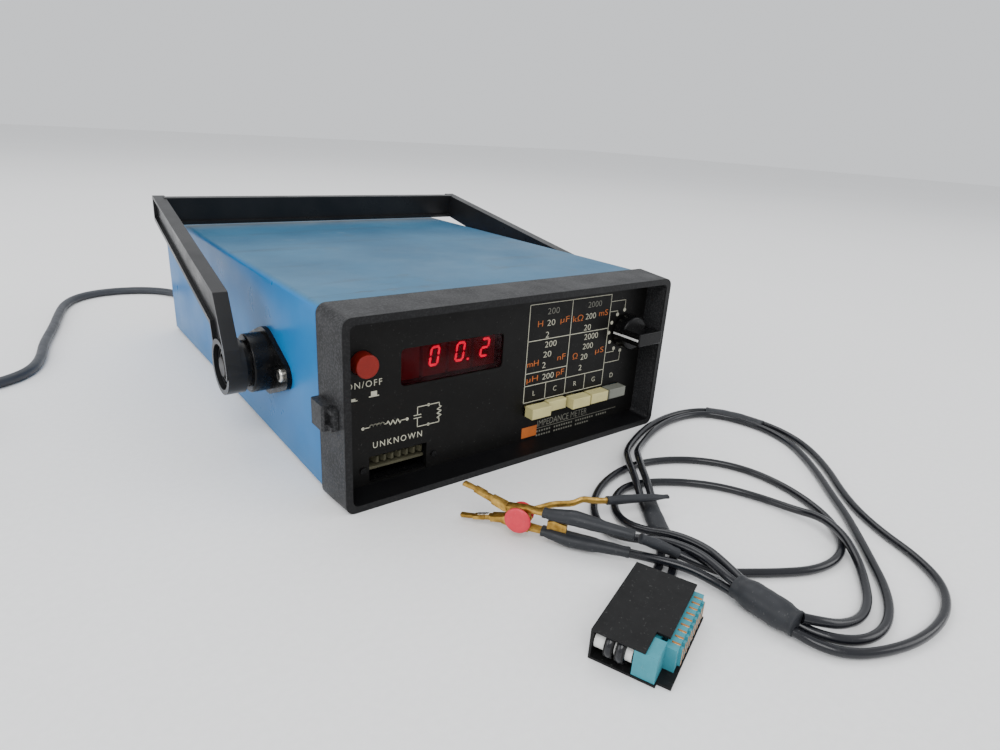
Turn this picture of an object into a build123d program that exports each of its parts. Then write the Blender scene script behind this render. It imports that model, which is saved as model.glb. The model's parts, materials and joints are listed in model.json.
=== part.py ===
from build123d import *
import math
import os

# Bench impedance meter with a swinging carry handle, a mains lead and a pair of clip leads.
# Millimetres. X to the right, Y to the back, Z up. Z = 0 is the bench.
# The origin is under the middle of the meter, knob and rear bumpers included.

# ---- driving dimensions ----
DEPTH = 349.0           # front of the bezel to the ends of the rear bumpers
KNOB_PROUD = 7.65       # how far the knob stands out in front of the bezel
FRONT_Y = -(DEPTH + KNOB_PROUD) / 2 + KNOB_PROUD
REAR_Y = FRONT_Y + DEPTH
BEZEL_W = 216.0         # half of a 19 inch rack, 8.5 inches
BEZEL_H = 97.0
BEZEL_D = 24.0
BEZEL_FLARE = 1.9       # how far each side leans out towards the back
BEZEL_CORNER = 5.0
LIP = 3.6               # thickness of the bezel's front edge
PANEL_BACK = 14.35      # panel face behind the front of the bezel
PANEL_T = 2.0
PANEL_W = 211.0
PANEL_H = 92.0
PANEL_Z = 48.8          # height of the panel's middle
CASE_HALF = 107.5
CASE_LOW = 2.5
CASE_TOP = 96.7
CASE_REAR = FRONT_Y + 341.0
SKIN = 1.6              # cover sheet
TUCK = 6.0              # how far the covers go into the bezel
KEY_PITCH = 15.86       # five eighths of an inch
KEY_W = 14.2
KEY_H = 6.4
KEY_Z = 24.2
KEY_OUT = 8.2           # how far a released key stands out of the panel
KEY_TRAVEL = 4.5
KNOB_X = 86.5
KNOB_Z = 63.0
KNOB_STEP = 28.0        # degrees between range positions
POWER_X = -92.0
POWER_Z = 70.0
WINDOW = (-71.4, -8.8, 54.2, 73.8)      # x low, x high, z low, z high
SOCKET = (-89.0, -56.0, 5.4, 20.0)
HUB_Y = FRONT_Y + 100.0
HUB_Z = 47.5
HUB_R = 15.4
HUB_OUT = 134.0         # outer face of the handle's hub from the middle plane
HUB_T = 10.0
ARM_T = 7.7
ARM_REACH = 172.0       # hub axis to the grip, along Y
ARM_IN = 8.0            # how far each arm closes in over that reach
FLANGE_SCREW = 27.0     # hub axis to each flange screw
CORD_D = 6.8
CORD_Z = CORD_D / 2 + 0.1
PANEL_Y = FRONT_Y + PANEL_BACK
COVER_Y = FRONT_Y + BEZEL_D - TUCK
PANEL_REAR = PANEL_Y + PANEL_T

os.makedirs("parts", exist_ok=True)


def save(shape, node):
    export_step(shape, "parts/" + node + ".step")


def block(x0, x1, y0, y1, z0, z1):
    """A box between two corners."""
    middle = Pos((x0 + x1) / 2, (y0 + y1) / 2, (z0 + z1) / 2)
    return middle * Box(x1 - x0, y1 - y0, z1 - z0)


def rod_x(r, x0, x1, y, z):
    return Pos((x0 + x1) / 2, y, z) * Rot(0, 90, 0) * Cylinder(r, abs(x1 - x0))


def rod_y(r, x, y0, y1, z):
    return Pos(x, (y0 + y1) / 2, z) * Rot(90, 0, 0) * Cylinder(r, abs(y1 - y0))


def rod_z(r, x, y, z0, z1):
    return Pos(x, y, (z0 + z1) / 2) * Cylinder(r, abs(z1 - z0))


def upright(y, x=0.0, z=0.0):
    """A plane facing the front, with its own X to the right and its own Y up."""
    return Plane(origin=(x, y, z), x_dir=(1, 0, 0), z_dir=(0, -1, 0))


def slab(y0, y1, x, z, width, height, corner):
    """A flat plate facing the front with rounded corners."""
    face = upright(y1, x, z) * RectangleRounded(width, height, corner)
    return extrude(face, amount=y1 - y0)


def mirrored(shape):
    """A shape and its twin on the other side of the meter."""
    return shape + mirror(shape, about=Plane.YZ)


# ---- case ----
def front_bezel():
    rear_y = FRONT_Y + BEZEL_D
    rear_h = BEZEL_H + BEZEL_FLARE * 0.8
    front = upright(FRONT_Y, 0, BEZEL_H / 2) * RectangleRounded(BEZEL_W, BEZEL_H, BEZEL_CORNER)
    rear_face = RectangleRounded(BEZEL_W + 2 * BEZEL_FLARE, rear_h, BEZEL_CORNER)
    rear = upright(rear_y, 0, rear_h / 2) * rear_face
    shell = loft([front, rear])
    mouth_w = BEZEL_W - 2 * LIP
    mouth_h = BEZEL_H - 2 * LIP
    mouth = upright(FRONT_Y, 0, BEZEL_H / 2) * RectangleRounded(mouth_w, mouth_h, 3.0)
    throat = upright(PANEL_Y, 0, PANEL_Z) * RectangleRounded(mouth_w - 1.6, mouth_h - 1.6, 2.5)
    shell -= loft([mouth, throat])
    shell -= slab(PANEL_Y, COVER_Y, 0, PANEL_Z, PANEL_W + 0.4, PANEL_H + 0.4, 2.0)
    pocket_h = CASE_TOP - CASE_LOW + 0.2
    pocket_z = (CASE_TOP + CASE_LOW) / 2
    shell -= slab(COVER_Y, rear_y, 0, pocket_z, 2 * CASE_HALF + 0.2, pocket_h, 0.05)
    return shell


def side_catches():
    """Small hook blocks on the bezel's sides, for a clip-on front cover."""
    side = BEZEL_W / 2 + 0.6
    body = block(side, 114.5, FRONT_Y + 9.7, FRONT_Y + 23.0, 41.6, 54.4)
    body += block(side, 112.0, FRONT_Y + 5.0, FRONT_Y + 9.7, 43.0, 53.0)
    edge = body.edges().filter_by(Axis.Z).group_by(Axis.X)[-1]
    body = chamfer(edge, 1.0)
    body -= block(110.6, 113.0, FRONT_Y + 4.0, FRONT_Y + 11.5, 45.0, 51.0)
    tail = front_bezel()
    return mirrored(body - tail)


def top_cover():
    height = CASE_TOP - CASE_LOW
    outer = upright(CASE_REAR, 0, (CASE_TOP + CASE_LOW) / 2) * Rectangle(2 * CASE_HALF, height)
    wrap = extrude(outer, amount=CASE_REAR - COVER_Y)
    top_edges = wrap.edges().filter_by(Axis.Y).group_by(Axis.Z)[-1]
    wrap = fillet(top_edges, 3.0)
    inner_half = CASE_HALF - SKIN
    inner = block(-inner_half, inner_half, COVER_Y - 1, CASE_REAR + 1, CASE_LOW - 5, CASE_TOP - SKIN)
    inner = fillet(inner.edges().filter_by(Axis.Y).group_by(Axis.Z)[-1], 1.6)
    wrap -= inner
    for side in (-1, 1):
        for y in (-FLANGE_SCREW, FLANGE_SCREW):
            wrap -= rod_x(2.0, side * (CASE_HALF - 3), side * (CASE_HALF + 1), HUB_Y + y, HUB_Z)
    return wrap


def bottom_cover():
    half = CASE_HALF - SKIN - 0.1
    tray = block(-half, half, COVER_Y, CASE_REAR, CASE_LOW, CASE_LOW + 12.0)
    tray -= block(-half + SKIN, half - SKIN, COVER_Y - 1, CASE_REAR + 1, CASE_LOW + SKIN, 40)
    for row in range(9):
        y = FRONT_Y + 190.0 + row * 10.0
        for side in (-1, 1):
            tray -= block(side * 50 - 22, side * 50 + 22, y, y + 3.0, 0, CASE_LOW + SKIN + 1)
    return tray


def bench_feet():
    feet = Part()
    for x in (-88.0, 88.0):
        for y in (FRONT_Y + 60.0, CASE_REAR - 22.0):
            feet += rod_z(6.0, x, y, 0.0, CASE_LOW - 0.02)
    return feet


REAR_PANEL_Y = CASE_REAR - 6.0
REAR_HALF = CASE_HALF - SKIN - 0.25
REAR_LOW = CASE_LOW + SKIN + 0.2
REAR_TOP = CASE_TOP - SKIN - 0.25
FUSE_X = 74.0
FUSE_Z = 30.0
GLAND_X = -74.0
GLAND_Z = 24.0
SELECT_X = 38.0
SELECT_Z = 30.0
BUMPER_X = 92.0
BUMPER_Z = (20.0, 80.0)


def rear_panel():
    height = REAR_TOP - REAR_LOW
    plate = slab(REAR_PANEL_Y, REAR_PANEL_Y + 2, 0, (REAR_TOP + REAR_LOW) / 2, 2 * REAR_HALF, height, 2)
    plate -= block(-REAR_HALF - 1, -REAR_HALF + SKIN + 0.2, REAR_PANEL_Y - 1, CASE_REAR, 0, 15.2)
    plate -= block(REAR_HALF - SKIN - 0.2, REAR_HALF + 1, REAR_PANEL_Y - 1, CASE_REAR, 0, 15.2)
    plate -= rod_y(6.5, FUSE_X, REAR_PANEL_Y - 1, CASE_REAR, FUSE_Z)
    plate -= rod_y(5.6, GLAND_X, REAR_PANEL_Y - 1, CASE_REAR, GLAND_Z)
    plate -= block(SELECT_X - 11, SELECT_X + 11, REAR_PANEL_Y - 1, CASE_REAR, SELECT_Z - 5, SELECT_Z + 5)
    for column in range(12):
        x = -44.0 + column * 8.0
        plate -= block(x - 1.5, x + 1.5, REAR_PANEL_Y - 1, CASE_REAR, 52.0, 84.0)
    return plate


def rear_bumpers():
    feet = Part()
    for x in (-BUMPER_X, BUMPER_X):
        for z in BUMPER_Z:
            post = rod_y(8.0, x, REAR_PANEL_Y + 2.02, REAR_Y, z)
            post = chamfer(post.edges().group_by(Axis.Y)[-1], 1.2)
            post -= rod_y(3.2, x, REAR_Y - 5.0, REAR_Y + 1, z)
            feet += post
    return feet


def case_screws():
    """Screw heads in the rear bumpers and along the bottom cover."""
    screws = Part()
    for x in (-BUMPER_X, BUMPER_X):
        for z in BUMPER_Z:
            screws += rod_y(3.0, x, REAR_Y - 4.98, REAR_Y - 3.0, z)
        for y in (-60.0, 40.0, 140.0):
            screws += rod_z(2.6, x * 1.05, y, CASE_LOW - 1.0, CASE_LOW - 0.02)
    return screws


def chassis_rails():
    """Two long flanged plates that tie the bezel to the rear panel."""
    inner = CASE_HALF - SKIN - 4.0
    web = block(inner, inner + 2.5, PANEL_REAR + 3.0, REAR_PANEL_Y - 0.1, 20.0, 84.0)
    web += block(inner - 10, inner, PANEL_REAR + 3.0, REAR_PANEL_Y - 0.1, 82.0, 84.0)
    for column in range(5):
        y = -110.0 + column * 60.0
        if abs(y - HUB_Y) > 45:
            web -= block(inner - 1, inner + 4, y, y + 30, 36.0, 66.0)
    return mirrored(web)


# ---- front panel and its controls ----
def key_x(index):
    return 16.45 + KEY_PITCH * index


def front_panel():
    plate = slab(PANEL_Y, PANEL_REAR, 0, PANEL_Z, PANEL_W, PANEL_H, 1.8)
    x0, x1, z0, z1 = WINDOW
    plate -= slab(PANEL_Y - 1, PANEL_REAR + 1, (x0 + x1) / 2, (z0 + z1) / 2, x1 - x0, z1 - z0, 2.4)
    x0, x1, z0, z1 = SOCKET
    plate -= block(x0, x1, PANEL_Y - 1, PANEL_REAR + 1, z0, z1)
    wide = KEY_W / 2 + 0.4
    for index in range(5):
        x = key_x(index)
        plate -= block(x - wide, x + wide, PANEL_Y - 1, PANEL_REAR + 1, KEY_Z - 3.6, KEY_Z + 3.6)
    plate -= rod_y(6.25, POWER_X, PANEL_Y - 1, PANEL_REAR + 1, POWER_Z)
    plate -= rod_y(3.3, KNOB_X, PANEL_Y - 1, PANEL_REAR + 1, KNOB_Z)
    return plate


def panel_screws():
    heads = Part()
    for x, z in ((-92.4, 13.4), (-51.6, 12.4)):
        heads += rod_y(1.7, x, PANEL_Y - 0.9, PANEL_Y - 0.02, z)
    return heads


def display_window():
    x0, x1, z0, z1 = WINDOW
    width = x1 - x0
    height = z1 - z0
    middle = ((x0 + x1) / 2, (z0 + z1) / 2)
    pane = slab(PANEL_Y + 0.9, PANEL_REAR, middle[0], middle[1], width - 0.2, height - 0.2, 2.3)
    pane += slab(PANEL_REAR + 0.02, PANEL_REAR + 1.2, middle[0], middle[1], width + 5, height + 5, 2.0)
    pane += slab(PANEL_REAR - 0.4, PANEL_REAR + 0.5, middle[0], middle[1], width - 0.2, height - 0.2, 2.3)
    return pane


DIGIT_PITCH = 15.8
DIGIT_Y = PANEL_REAR + 3.6


def display_digits():
    """Four seven-segment modules on a common row."""
    row = Part()
    for index in range(4):
        x = -64.8 + DIGIT_PITCH * index
        row += block(x - 6.9, x + 6.9, DIGIT_Y, DIGIT_Y + 6.5, 55.0, 73.0)
    return row


def display_board():
    board_y = DIGIT_Y + 6.55
    board = block(-76.0, -4.0, board_y, board_y + 1.6, 45.0, 84.0)
    for x, z in DISPLAY_HOLES:
        board -= rod_y(1.6, x, board_y - 1, board_y + 3, z)
    return board


def key_cap(index, out):
    """A key cap on its stem, standing out of the panel by the given amount."""
    x = key_x(index)
    cap = block(x - KEY_W / 2, x + KEY_W / 2, PANEL_Y - out, PANEL_Y + 7.0 - out, KEY_Z - KEY_H / 2,
                KEY_Z + KEY_H / 2)
    cap = fillet(cap.edges().group_by(Axis.Y)[0], 0.5)
    cap += block(x - 2.0, x + 2.0, PANEL_Y + 7.0 - out, PANEL_Y + 17.0 - out, KEY_Z - 1.5, KEY_Z + 1.5)
    return cap


def key_bank():
    """The latching switch bank behind the keys, one housing for each key on a frame."""
    y0 = PANEL_REAR + 8.5
    bank = Part()
    for index in range(5):
        x = key_x(index)
        body = block(x - 6.6, x + 6.6, y0, y0 + 34.0, KEY_Z - 6.0, KEY_Z + 6.0)
        body -= block(x - 2.3, x + 2.3, y0 - 1, y0 + 14.0, KEY_Z - 1.8, KEY_Z + 1.8)
        bank += body
    bank += block(key_x(0) - 9, key_x(4) + 9, y0 - 1.5, y0, KEY_Z + 2.2, KEY_Z + 6.0)
    bank += block(key_x(0) - 9, key_x(4) + 9, y0 - 1.5, y0, KEY_Z - 6.0, KEY_Z - 2.2)
    return bank


def power_button():
    cap = rod_y(5.9, POWER_X, PANEL_Y - 6.2, PANEL_Y + 6.0, POWER_Z)
    cap = fillet(cap.edges().group_by(Axis.Y)[0], 0.7)
    return cap + rod_y(2.4, POWER_X, PANEL_Y + 6.0, PANEL_Y + 15.0, POWER_Z)


def power_switch():
    y0 = PANEL_Y + 12.0
    body = block(POWER_X - 6.0, POWER_X + 8.0, y0, y0 + 26.0, POWER_Z - 8.0, POWER_Z + 8.0)
    return body - rod_y(2.7, POWER_X, y0 - 1, y0 + 9.0, POWER_Z)


def range_knob():
    """A round skirt with a finger bar across it that points left, towards the scale."""
    skirt = rod_y(10.6, KNOB_X, PANEL_Y - 9.5, PANEL_Y - 1.2, KNOB_Z)
    skirt = fillet(skirt.edges().group_by(Axis.Y)[0], 1.6)
    tip = FRONT_Y - KNOB_PROUD
    bar = block(KNOB_X - 10.2, KNOB_X + 10.2, tip, PANEL_Y - 1.2, KNOB_Z - 3.9, KNOB_Z + 3.9)
    bar = fillet(bar.edges().filter_by(Axis.Y), 1.2)
    bar = fillet(bar.edges().group_by(Axis.Y)[0], 0.8)
    return skirt + bar


def knob_shaft():
    """The switch's turning spindle, flush in the knob."""
    return rod_y(3.0, KNOB_X, PANEL_Y - 1.19, PANEL_REAR + 22.0, KNOB_Z)


def range_switch():
    """The wafer switch: bush, front plate, two wafers and their long screws."""
    y0 = PANEL_REAR
    bush = rod_y(4.7, KNOB_X, y0 + 0.02, y0 + 6.0, KNOB_Z) - rod_y(3.05, KNOB_X, y0 - 1, y0 + 30, KNOB_Z)
    stack = bush
    for start, thick, radius in ((6.0, 3.0, 13.0), (14.0, 1.6, 14.5), (22.5, 1.6, 14.5)):
        wafer = rod_y(radius, KNOB_X, y0 + start, y0 + start + thick, KNOB_Z)
        stack += wafer - rod_y(3.05 if start < 22 else 1.0, KNOB_X, y0 - 1, y0 + 22.2, KNOB_Z)
    for x in (-11.0, 11.0):
        stack += rod_y(1.3, KNOB_X + x, y0 + 6.5, y0 + 27.0, KNOB_Z)
    return stack


def range_nut():
    nut = extrude(upright(PANEL_Y - 0.02, KNOB_X, KNOB_Z) * RegularPolygon(4.6, 6), amount=1.0)
    return nut - rod_y(3.3, KNOB_X, PANEL_Y - 2, PANEL_Y + 1, KNOB_Z)


def test_socket():
    """The moulded socket behind the slot that the component or the lead plug goes into."""
    x0, x1, z0, z1 = SOCKET
    y0 = PANEL_REAR + 0.02
    shell = block(x0 - 2.0, x1 + 2.0, y0, y0 + 27.0, z0 - 0.6, z1 + 2.0)
    shell -= block(x0 + 0.2, x1 - 0.2, y0 - 1, y0 + 25.0, z0 + 0.2, z1 - 0.2)
    return shell


def socket_comb():
    """Seven leaning contact blades along the top of the slot, on one carrier with a ledge."""
    x0, x1, z0, z1 = SOCKET
    y0 = PANEL_REAR - 0.6
    comb = block(x0 + 0.6, x1 - 0.6, y0 + 9.0, y0 + 12.0, z1 - 7.2, z1 - 0.6)
    for index in range(7):
        x = x0 + 4.2 + index * 4.2
        blade = Pos(x, y0 + 5.0, z1 - 3.8) * Rot(0, 0, 24) * Box(1.7, 8.4, 3.4)
        comb += blade
    comb += block(x0 + 0.6, x1 - 0.6, y0 + 1.2, y0 + 12.0, z1 - 8.6, z1 - 7.2)
    return comb


# ---- electronics inside ----
BOARD_Z = 18.0
BOARD_HOLES = ((-90.0, -104.0), (78.0, -104.0), (-90.0, 54.0), (78.0, 54.0))
SUPPLY_HOLES = ((-80.0, 74.0), (2.0, 74.0), (-80.0, 110.0), (2.0, 110.0))
DISPLAY_HOLES = ((-72.0, 80.0), (-8.0, 80.0), (-72.0, 49.0), (-8.0, 49.0))


def main_board():
    board = block(-96.0, 84.0, -110.0, 60.0, BOARD_Z, BOARD_Z + 1.6)
    for x, y in BOARD_HOLES:
        board -= rod_z(1.7, x, y, BOARD_Z - 1, BOARD_Z + 3)
    return board


def standoffs():
    """The posts under the main and supply boards, and those behind the panel for the display."""
    posts = Part()
    for x, y in BOARD_HOLES:
        posts += rod_z(3.2, x, y, CASE_LOW + SKIN + 0.02, BOARD_Z - 0.02)
    for x, y in SUPPLY_HOLES:
        posts += rod_z(2.6, x, y, CASE_LOW + SKIN + 0.02, BOARD_Z - 1.64)
    for x, z in DISPLAY_HOLES:
        posts += rod_y(2.6, x, PANEL_REAR + 0.02, DIGIT_Y + 6.5, z)
    return posts


def board_chips():
    chips = Part()
    top = BOARD_Z + 1.62
    for row in range(4):
        for column in range(6):
            x = -74.0 + column * 27.0
            y = -84.0 + row * 32.0
            chips += block(x - 3.2, x + 3.2, y - 10.0, y + 10.0, top, top + 4.2)
    return chips


def filter_capacitors():
    cans = Part()
    for x in (-62.0, -32.0):
        can = rod_z(11.0, x, 92.0, BOARD_Z, BOARD_Z + 46.0)
        cans += fillet(can.edges().group_by(Axis.Z)[-1], 1.5)
    return cans


def supply_board():
    """Carries the filter capacitors and the regulator's heat sink."""
    board = block(-84.0, 6.0, 70.0, 114.0, BOARD_Z - 1.62, BOARD_Z - 0.02)
    return board


def regulator_heatsink():
    sink = block(-14.0, 0.0, 76.0, 110.0, BOARD_Z, BOARD_Z + 3.0)
    for index in range(5):
        y = 76.0 + index * 7.75
        sink += block(-14.0, 0.0, y, y + 3.0, BOARD_Z + 3.0, BOARD_Z + 30.0)
    return sink


def transformer_core():
    core = block(30.0, 86.0, 84.0, 124.0, CASE_LOW + SKIN + 0.02, 56.0)
    core -= block(40.0, 50.0, 83.0, 125.0, 16.0, 44.0)
    core -= block(66.0, 76.0, 83.0, 125.0, 16.0, 44.0)
    return core


def transformer_coil():
    coil = block(40.2, 75.8, 77.0, 131.0, 16.2, 43.8)
    return coil - block(49.98, 66.02, 83.9, 124.1, 15.0, 45.0)


# ---- back of the case ----
def fuse_holder():
    barrel = rod_y(6.4, FUSE_X, REAR_PANEL_Y - 26.0, REAR_PANEL_Y + 2.0, FUSE_Z)
    barrel += rod_y(8.4, FUSE_X, REAR_PANEL_Y + 2.02, REAR_PANEL_Y + 4.0, FUSE_Z)
    barrel += rod_y(6.4, FUSE_X, REAR_PANEL_Y + 1.0, REAR_PANEL_Y + 3.0, FUSE_Z)
    barrel -= rod_y(4.3, FUSE_X, REAR_PANEL_Y - 20.0, REAR_PANEL_Y + 8.0, FUSE_Z)
    return barrel


def fuse_cap():
    cap = rod_y(7.0, FUSE_X, REAR_PANEL_Y + 4.3, REAR_PANEL_Y + 11.0, FUSE_Z)
    cap = fillet(cap.edges().group_by(Axis.Y)[-1], 0.8)
    cap -= block(FUSE_X - 5.0, FUSE_X + 5.0, REAR_PANEL_Y + 9.6, REAR_PANEL_Y + 12.0, FUSE_Z - 0.7,
                 FUSE_Z + 0.7)
    return cap + rod_y(4.25, FUSE_X, REAR_PANEL_Y - 10.0, REAR_PANEL_Y + 4.3, FUSE_Z)


def selector_body():
    y = REAR_PANEL_Y
    body = block(SELECT_X - 10.8, SELECT_X + 10.8, y - 12.0, y + 2.0, SELECT_Z - 4.8, SELECT_Z + 4.8)
    body -= block(SELECT_X - 8.0, SELECT_X + 8.0, y - 3.0, y + 3.0, SELECT_Z - 3.0, SELECT_Z + 3.0)
    return body


def selector_slide():
    y = REAR_PANEL_Y
    return block(SELECT_X - 7.6, SELECT_X + 0.4, y - 2.8, y + 1.2, SELECT_Z - 2.7, SELECT_Z + 2.7)


# ---- handle ----
def arm_plane(side):
    """The outer face of an arm: its own X runs back along the arm, its own Y is up."""
    lean = math.atan2(ARM_IN, ARM_REACH)
    along = (-side * math.sin(lean), math.cos(lean), 0)
    inward = (-side * math.cos(lean), -math.sin(lean), 0)
    return Plane(origin=(side * HUB_OUT, HUB_Y, 0), x_dir=along, z_dir=inward)


def arm_outline(inset=0.0):
    """Neck up to the shoulder, then straight back and slightly up to the grip."""
    grow = -inset
    front_low = (-15.2 - grow, 48.0)
    front_mid = (-13.0 - grow, 60.0)
    shoulder = (2.5 - grow * 0.6, 87.8 + grow)
    tip_top = (177.0 + grow, 118.4 + grow)
    tip_low = (179.0 + grow, 100.6 - grow)
    under = (16.5 + grow * 0.4, 67.0 - grow)
    hub_back = (13.6 + grow, 54.0)
    return [front_low, front_mid, shoulder, tip_top, tip_low, under, hub_back, (12.0, 44.0), (-14.0, 44.0)]


def handle_arm(side):
    plane = arm_plane(side)
    sign = 1 if side < 0 else -1
    corners = [(sign * s, z) for s, z in arm_outline()]
    if side > 0:
        plane = Plane(origin=plane.origin, x_dir=-plane.x_dir, z_dir=plane.z_dir)
    arm = extrude(plane * Polygon(*corners, align=None), amount=ARM_T, dir=plane.z_dir)
    arm = fillet(arm.edges().filter_by(lambda e: e.length < ARM_T * 1.05 and e.length > ARM_T * 0.95), 1.5)
    inner = [(sign * s, z) for s, z in arm_outline(2.4)[1:-2]]
    channel = extrude(plane * Polygon(*inner, align=None), amount=2.2, dir=plane.z_dir)
    arm -= channel
    hub = rod_x(HUB_R, side * (HUB_OUT - HUB_T), side * HUB_OUT, HUB_Y, HUB_Z)
    arm += hub
    arm -= rod_x(12.6, side * (HUB_OUT - 3.4), side * (HUB_OUT + 1), HUB_Y, HUB_Z)
    for outer, inner_r, height in ((11.0, 9.8, 1.2), (8.4, 7.2, 1.2)):
        ring = rod_x(outer, side * (HUB_OUT - 3.6), side * (HUB_OUT - 3.4 + height), HUB_Y, HUB_Z)
        ring -= rod_x(inner_r, side * (HUB_OUT - 5), side * (HUB_OUT + 1), HUB_Y, HUB_Z)
        arm += ring
    arm -= rod_x(4.06, side * (HUB_OUT - HUB_T - 1), side * (HUB_OUT + 1), HUB_Y, HUB_Z)
    arm -= rod_x(20.0, side * (HUB_OUT - HUB_T - 8), side * (HUB_OUT - HUB_T), HUB_Y, HUB_Z)
    return arm


GRIP_Y = HUB_Y + 168.0
GRIP_LOW = 98.8
GRIP_TOP = 117.2


def handle_grip():
    """The bar across the back: an upright web with a narrow lip along its lower edge."""
    half = HUB_OUT - ARM_IN - ARM_T + 1.6
    web = block(-half, half, GRIP_Y, GRIP_Y + 5.0, GRIP_LOW, GRIP_TOP)
    web += block(-half, half, GRIP_Y - 3.0, GRIP_Y + 0.5, GRIP_LOW, GRIP_LOW + 2.0)
    turn = Pos(0, GRIP_Y, (GRIP_LOW + GRIP_TOP) / 2) * Rot(8, 0, 0)
    return turn * (Pos(0, -GRIP_Y, -(GRIP_LOW + GRIP_TOP) / 2) * web)


def handle_bar():
    return handle_arm(-1) + handle_arm(1) + handle_grip()


def hub_brackets():
    """A diamond flange with a round boss on each side of the case, which the handle turns on."""
    out = CASE_HALF
    plane = Plane(origin=(out, HUB_Y, HUB_Z), x_dir=(0, 1, 0), z_dir=(1, 0, 0))
    tips = [Pos(s * FLANGE_SCREW, 0) * Circle(8.0) for s in (-1, 1)] + [Circle(19.0)]
    flange = make_hull((tips[0] + tips[1] + tips[2]).edges())
    body = extrude(plane * flange, amount=2.6)
    body += rod_x(16.4, out + 2.5, out + 13.2, HUB_Y, HUB_Z)
    body = fillet(body.edges().group_by(Axis.X)[-1], 1.0)
    body += rod_x(13.0, out + 13.0, HUB_OUT - HUB_T - 0.4, HUB_Y, HUB_Z)
    body -= rod_x(4.0, out - 1, HUB_OUT, HUB_Y, HUB_Z)
    for y in (-FLANGE_SCREW, FLANGE_SCREW):
        body -= rod_x(1.9, out - 1, out + 5, HUB_Y + y, HUB_Z)
    return mirrored(body)


def bracket_screws():
    screws = Part()
    for y in (-FLANGE_SCREW, FLANGE_SCREW):
        head = rod_x(3.6, CASE_HALF + 2.62, CASE_HALF + 4.6, HUB_Y + y, HUB_Z)
        screws += fillet(head.edges().group_by(Axis.X)[-1], 1.2)
        screws += rod_x(1.8, CASE_HALF - 1.4, CASE_HALF + 3.0, HUB_Y + y, HUB_Z)
    return mirrored(screws)


def pivot_screws():
    """The shoulder screws that the hubs turn on, threaded into the bosses."""
    screw = rod_x(4.0, CASE_HALF + 2.0, HUB_OUT - 3.0, HUB_Y, HUB_Z)
    head = rod_x(5.6, HUB_OUT - 3.02, HUB_OUT - 0.8, HUB_Y, HUB_Z)
    head = fillet(head.edges().group_by(Axis.X)[-1], 0.5)
    return mirrored(screw + head)


# ---- mains lead ----
CORD_EXIT = (GLAND_X, REAR_Y + 9.0, GLAND_Z)
CORD_ROUTE = [
    CORD_EXIT,
    (-74, 206, 23.4),
    (-74, 226, 18.0),
    (-75, 247, 9.5),
    (-79, 268, 3.6),
    (-88, 291, 3.5),
    (-106, 307, 3.5),
    (-129, 313, 3.5),
    (-152, 310, 3.5),
    (-170, 295, 3.5),
    (-180, 272, 3.5),
    (-186, 244, 3.5),
    (-193, 204, 3.5),
    (-203, 159, 3.5),
    (-207, 124, 3.5),
    (-215, 98, 3.5),
    (-232, 82, 3.5),
    (-256, 77, 3.5),
    (-286, 71, 3.5),
]
COIL_MID = (-298.0, 22.0)      # middle of the coil
COIL_R = 37.5                  # middle of its turns
COIL_BAND = 14.0               # half the width of the band of turns
COIL_TOP = 24.0


# ---- clip leads ----
LEAD_D = 4.0
SLEEVE_MID = (0.4, -322.5, 6.4)     # middle of the big sleeve that ties the leads
SLEEVE_LONG = 27.0
SLEEVE_R = 6.2
SLOT = 2.2                          # how far each lead lies from the big sleeve's axis
SLEEVE_BACK = SLEEVE_MID[1] + SLEEVE_LONG / 2
SLEEVE_FRONT = SLEEVE_MID[1] - SLEEVE_LONG / 2
CLIP_WAY = (0.55, -0.835)           # the way the clip's handles point
PIVOT = (-47.3, -225.8, 10.3)
PLUG_CORNER = (-74.0, -299.0)
PLUG_ALONG = (0.926, 0.379)
PLUG_L = 47.0
PLUG_W = 25.0
PLUG_H = 13.0
CONTACTS = 9
CONTACT_START = 12.5
CONTACT_PITCH = 3.6
LEFT = SLEEVE_MID[0] - SLOT
RIGHT = SLEEVE_MID[0] + SLOT
LOW = SLEEVE_MID[2] - SLOT
HIGH = SLEEVE_MID[2] + SLOT

OUTER_ROUTE = [
    (-27.6, -286.5, 3.2), (-17, -282, 2.3), (-5, -275, 2.2), (5, -264, 2.2), (13, -252, 2.2),
    (21, -240, 3.2), (28, -230, 6.4), (37, -218, 7.0), (46, -206, 7.0), (56, -197, 4.4),
    (71, -188, 2.2), (92, -179, 2.2), (116, -173.5, 2.2), (139, -174, 2.4), (156, -182, 2.8),
    (166, -198, 2.8), (171, -216, 2.4), (170, -234, 2.2), (162, -252, 2.2), (146, -272, 2.2),
    (127, -290, 2.2), (114, -305, 2.2), (104, -322, 2.2), (97, -340, 2.2), (86, -355, 2.2),
    (71, -363, 2.2), (54, -366, 2.2), (37, -365, 2.2), (22, -361, 2.2), (9, -355, 2.4),
    (1, -347, 3.2), (LEFT, SLEEVE_FRONT, LOW),
]
INNER_ROUTE = [
    (-25.4, -292.0, 3.2), (-14, -288, 2.3), (-1, -279, 2.2), (9, -268, 2.2), (17, -256, 2.2),
    (25, -244, 3.2), (33, -233, 6.6), (42, -221, 7.2), (51, -210, 7.2), (60.5, -201, 4.6),
    (74, -193, 2.2), (93, -184.5, 2.2), (116, -178.5, 2.2), (136, -179, 2.4), (151, -185.5, 2.8),
    (160, -201, 2.8), (164, -219, 2.4), (160, -239, 2.2), (148, -257, 2.2), (133, -274, 2.2),
    (118, -289, 2.2), (105, -303, 2.2), (91, -316, 2.2), (75, -330, 2.2), (61, -342, 2.2),
    (46, -351, 2.2), (31, -355, 2.3), (18, -353, 2.6), (8, -346, 3.4), (RIGHT, SLEEVE_FRONT, LOW),
]
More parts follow.
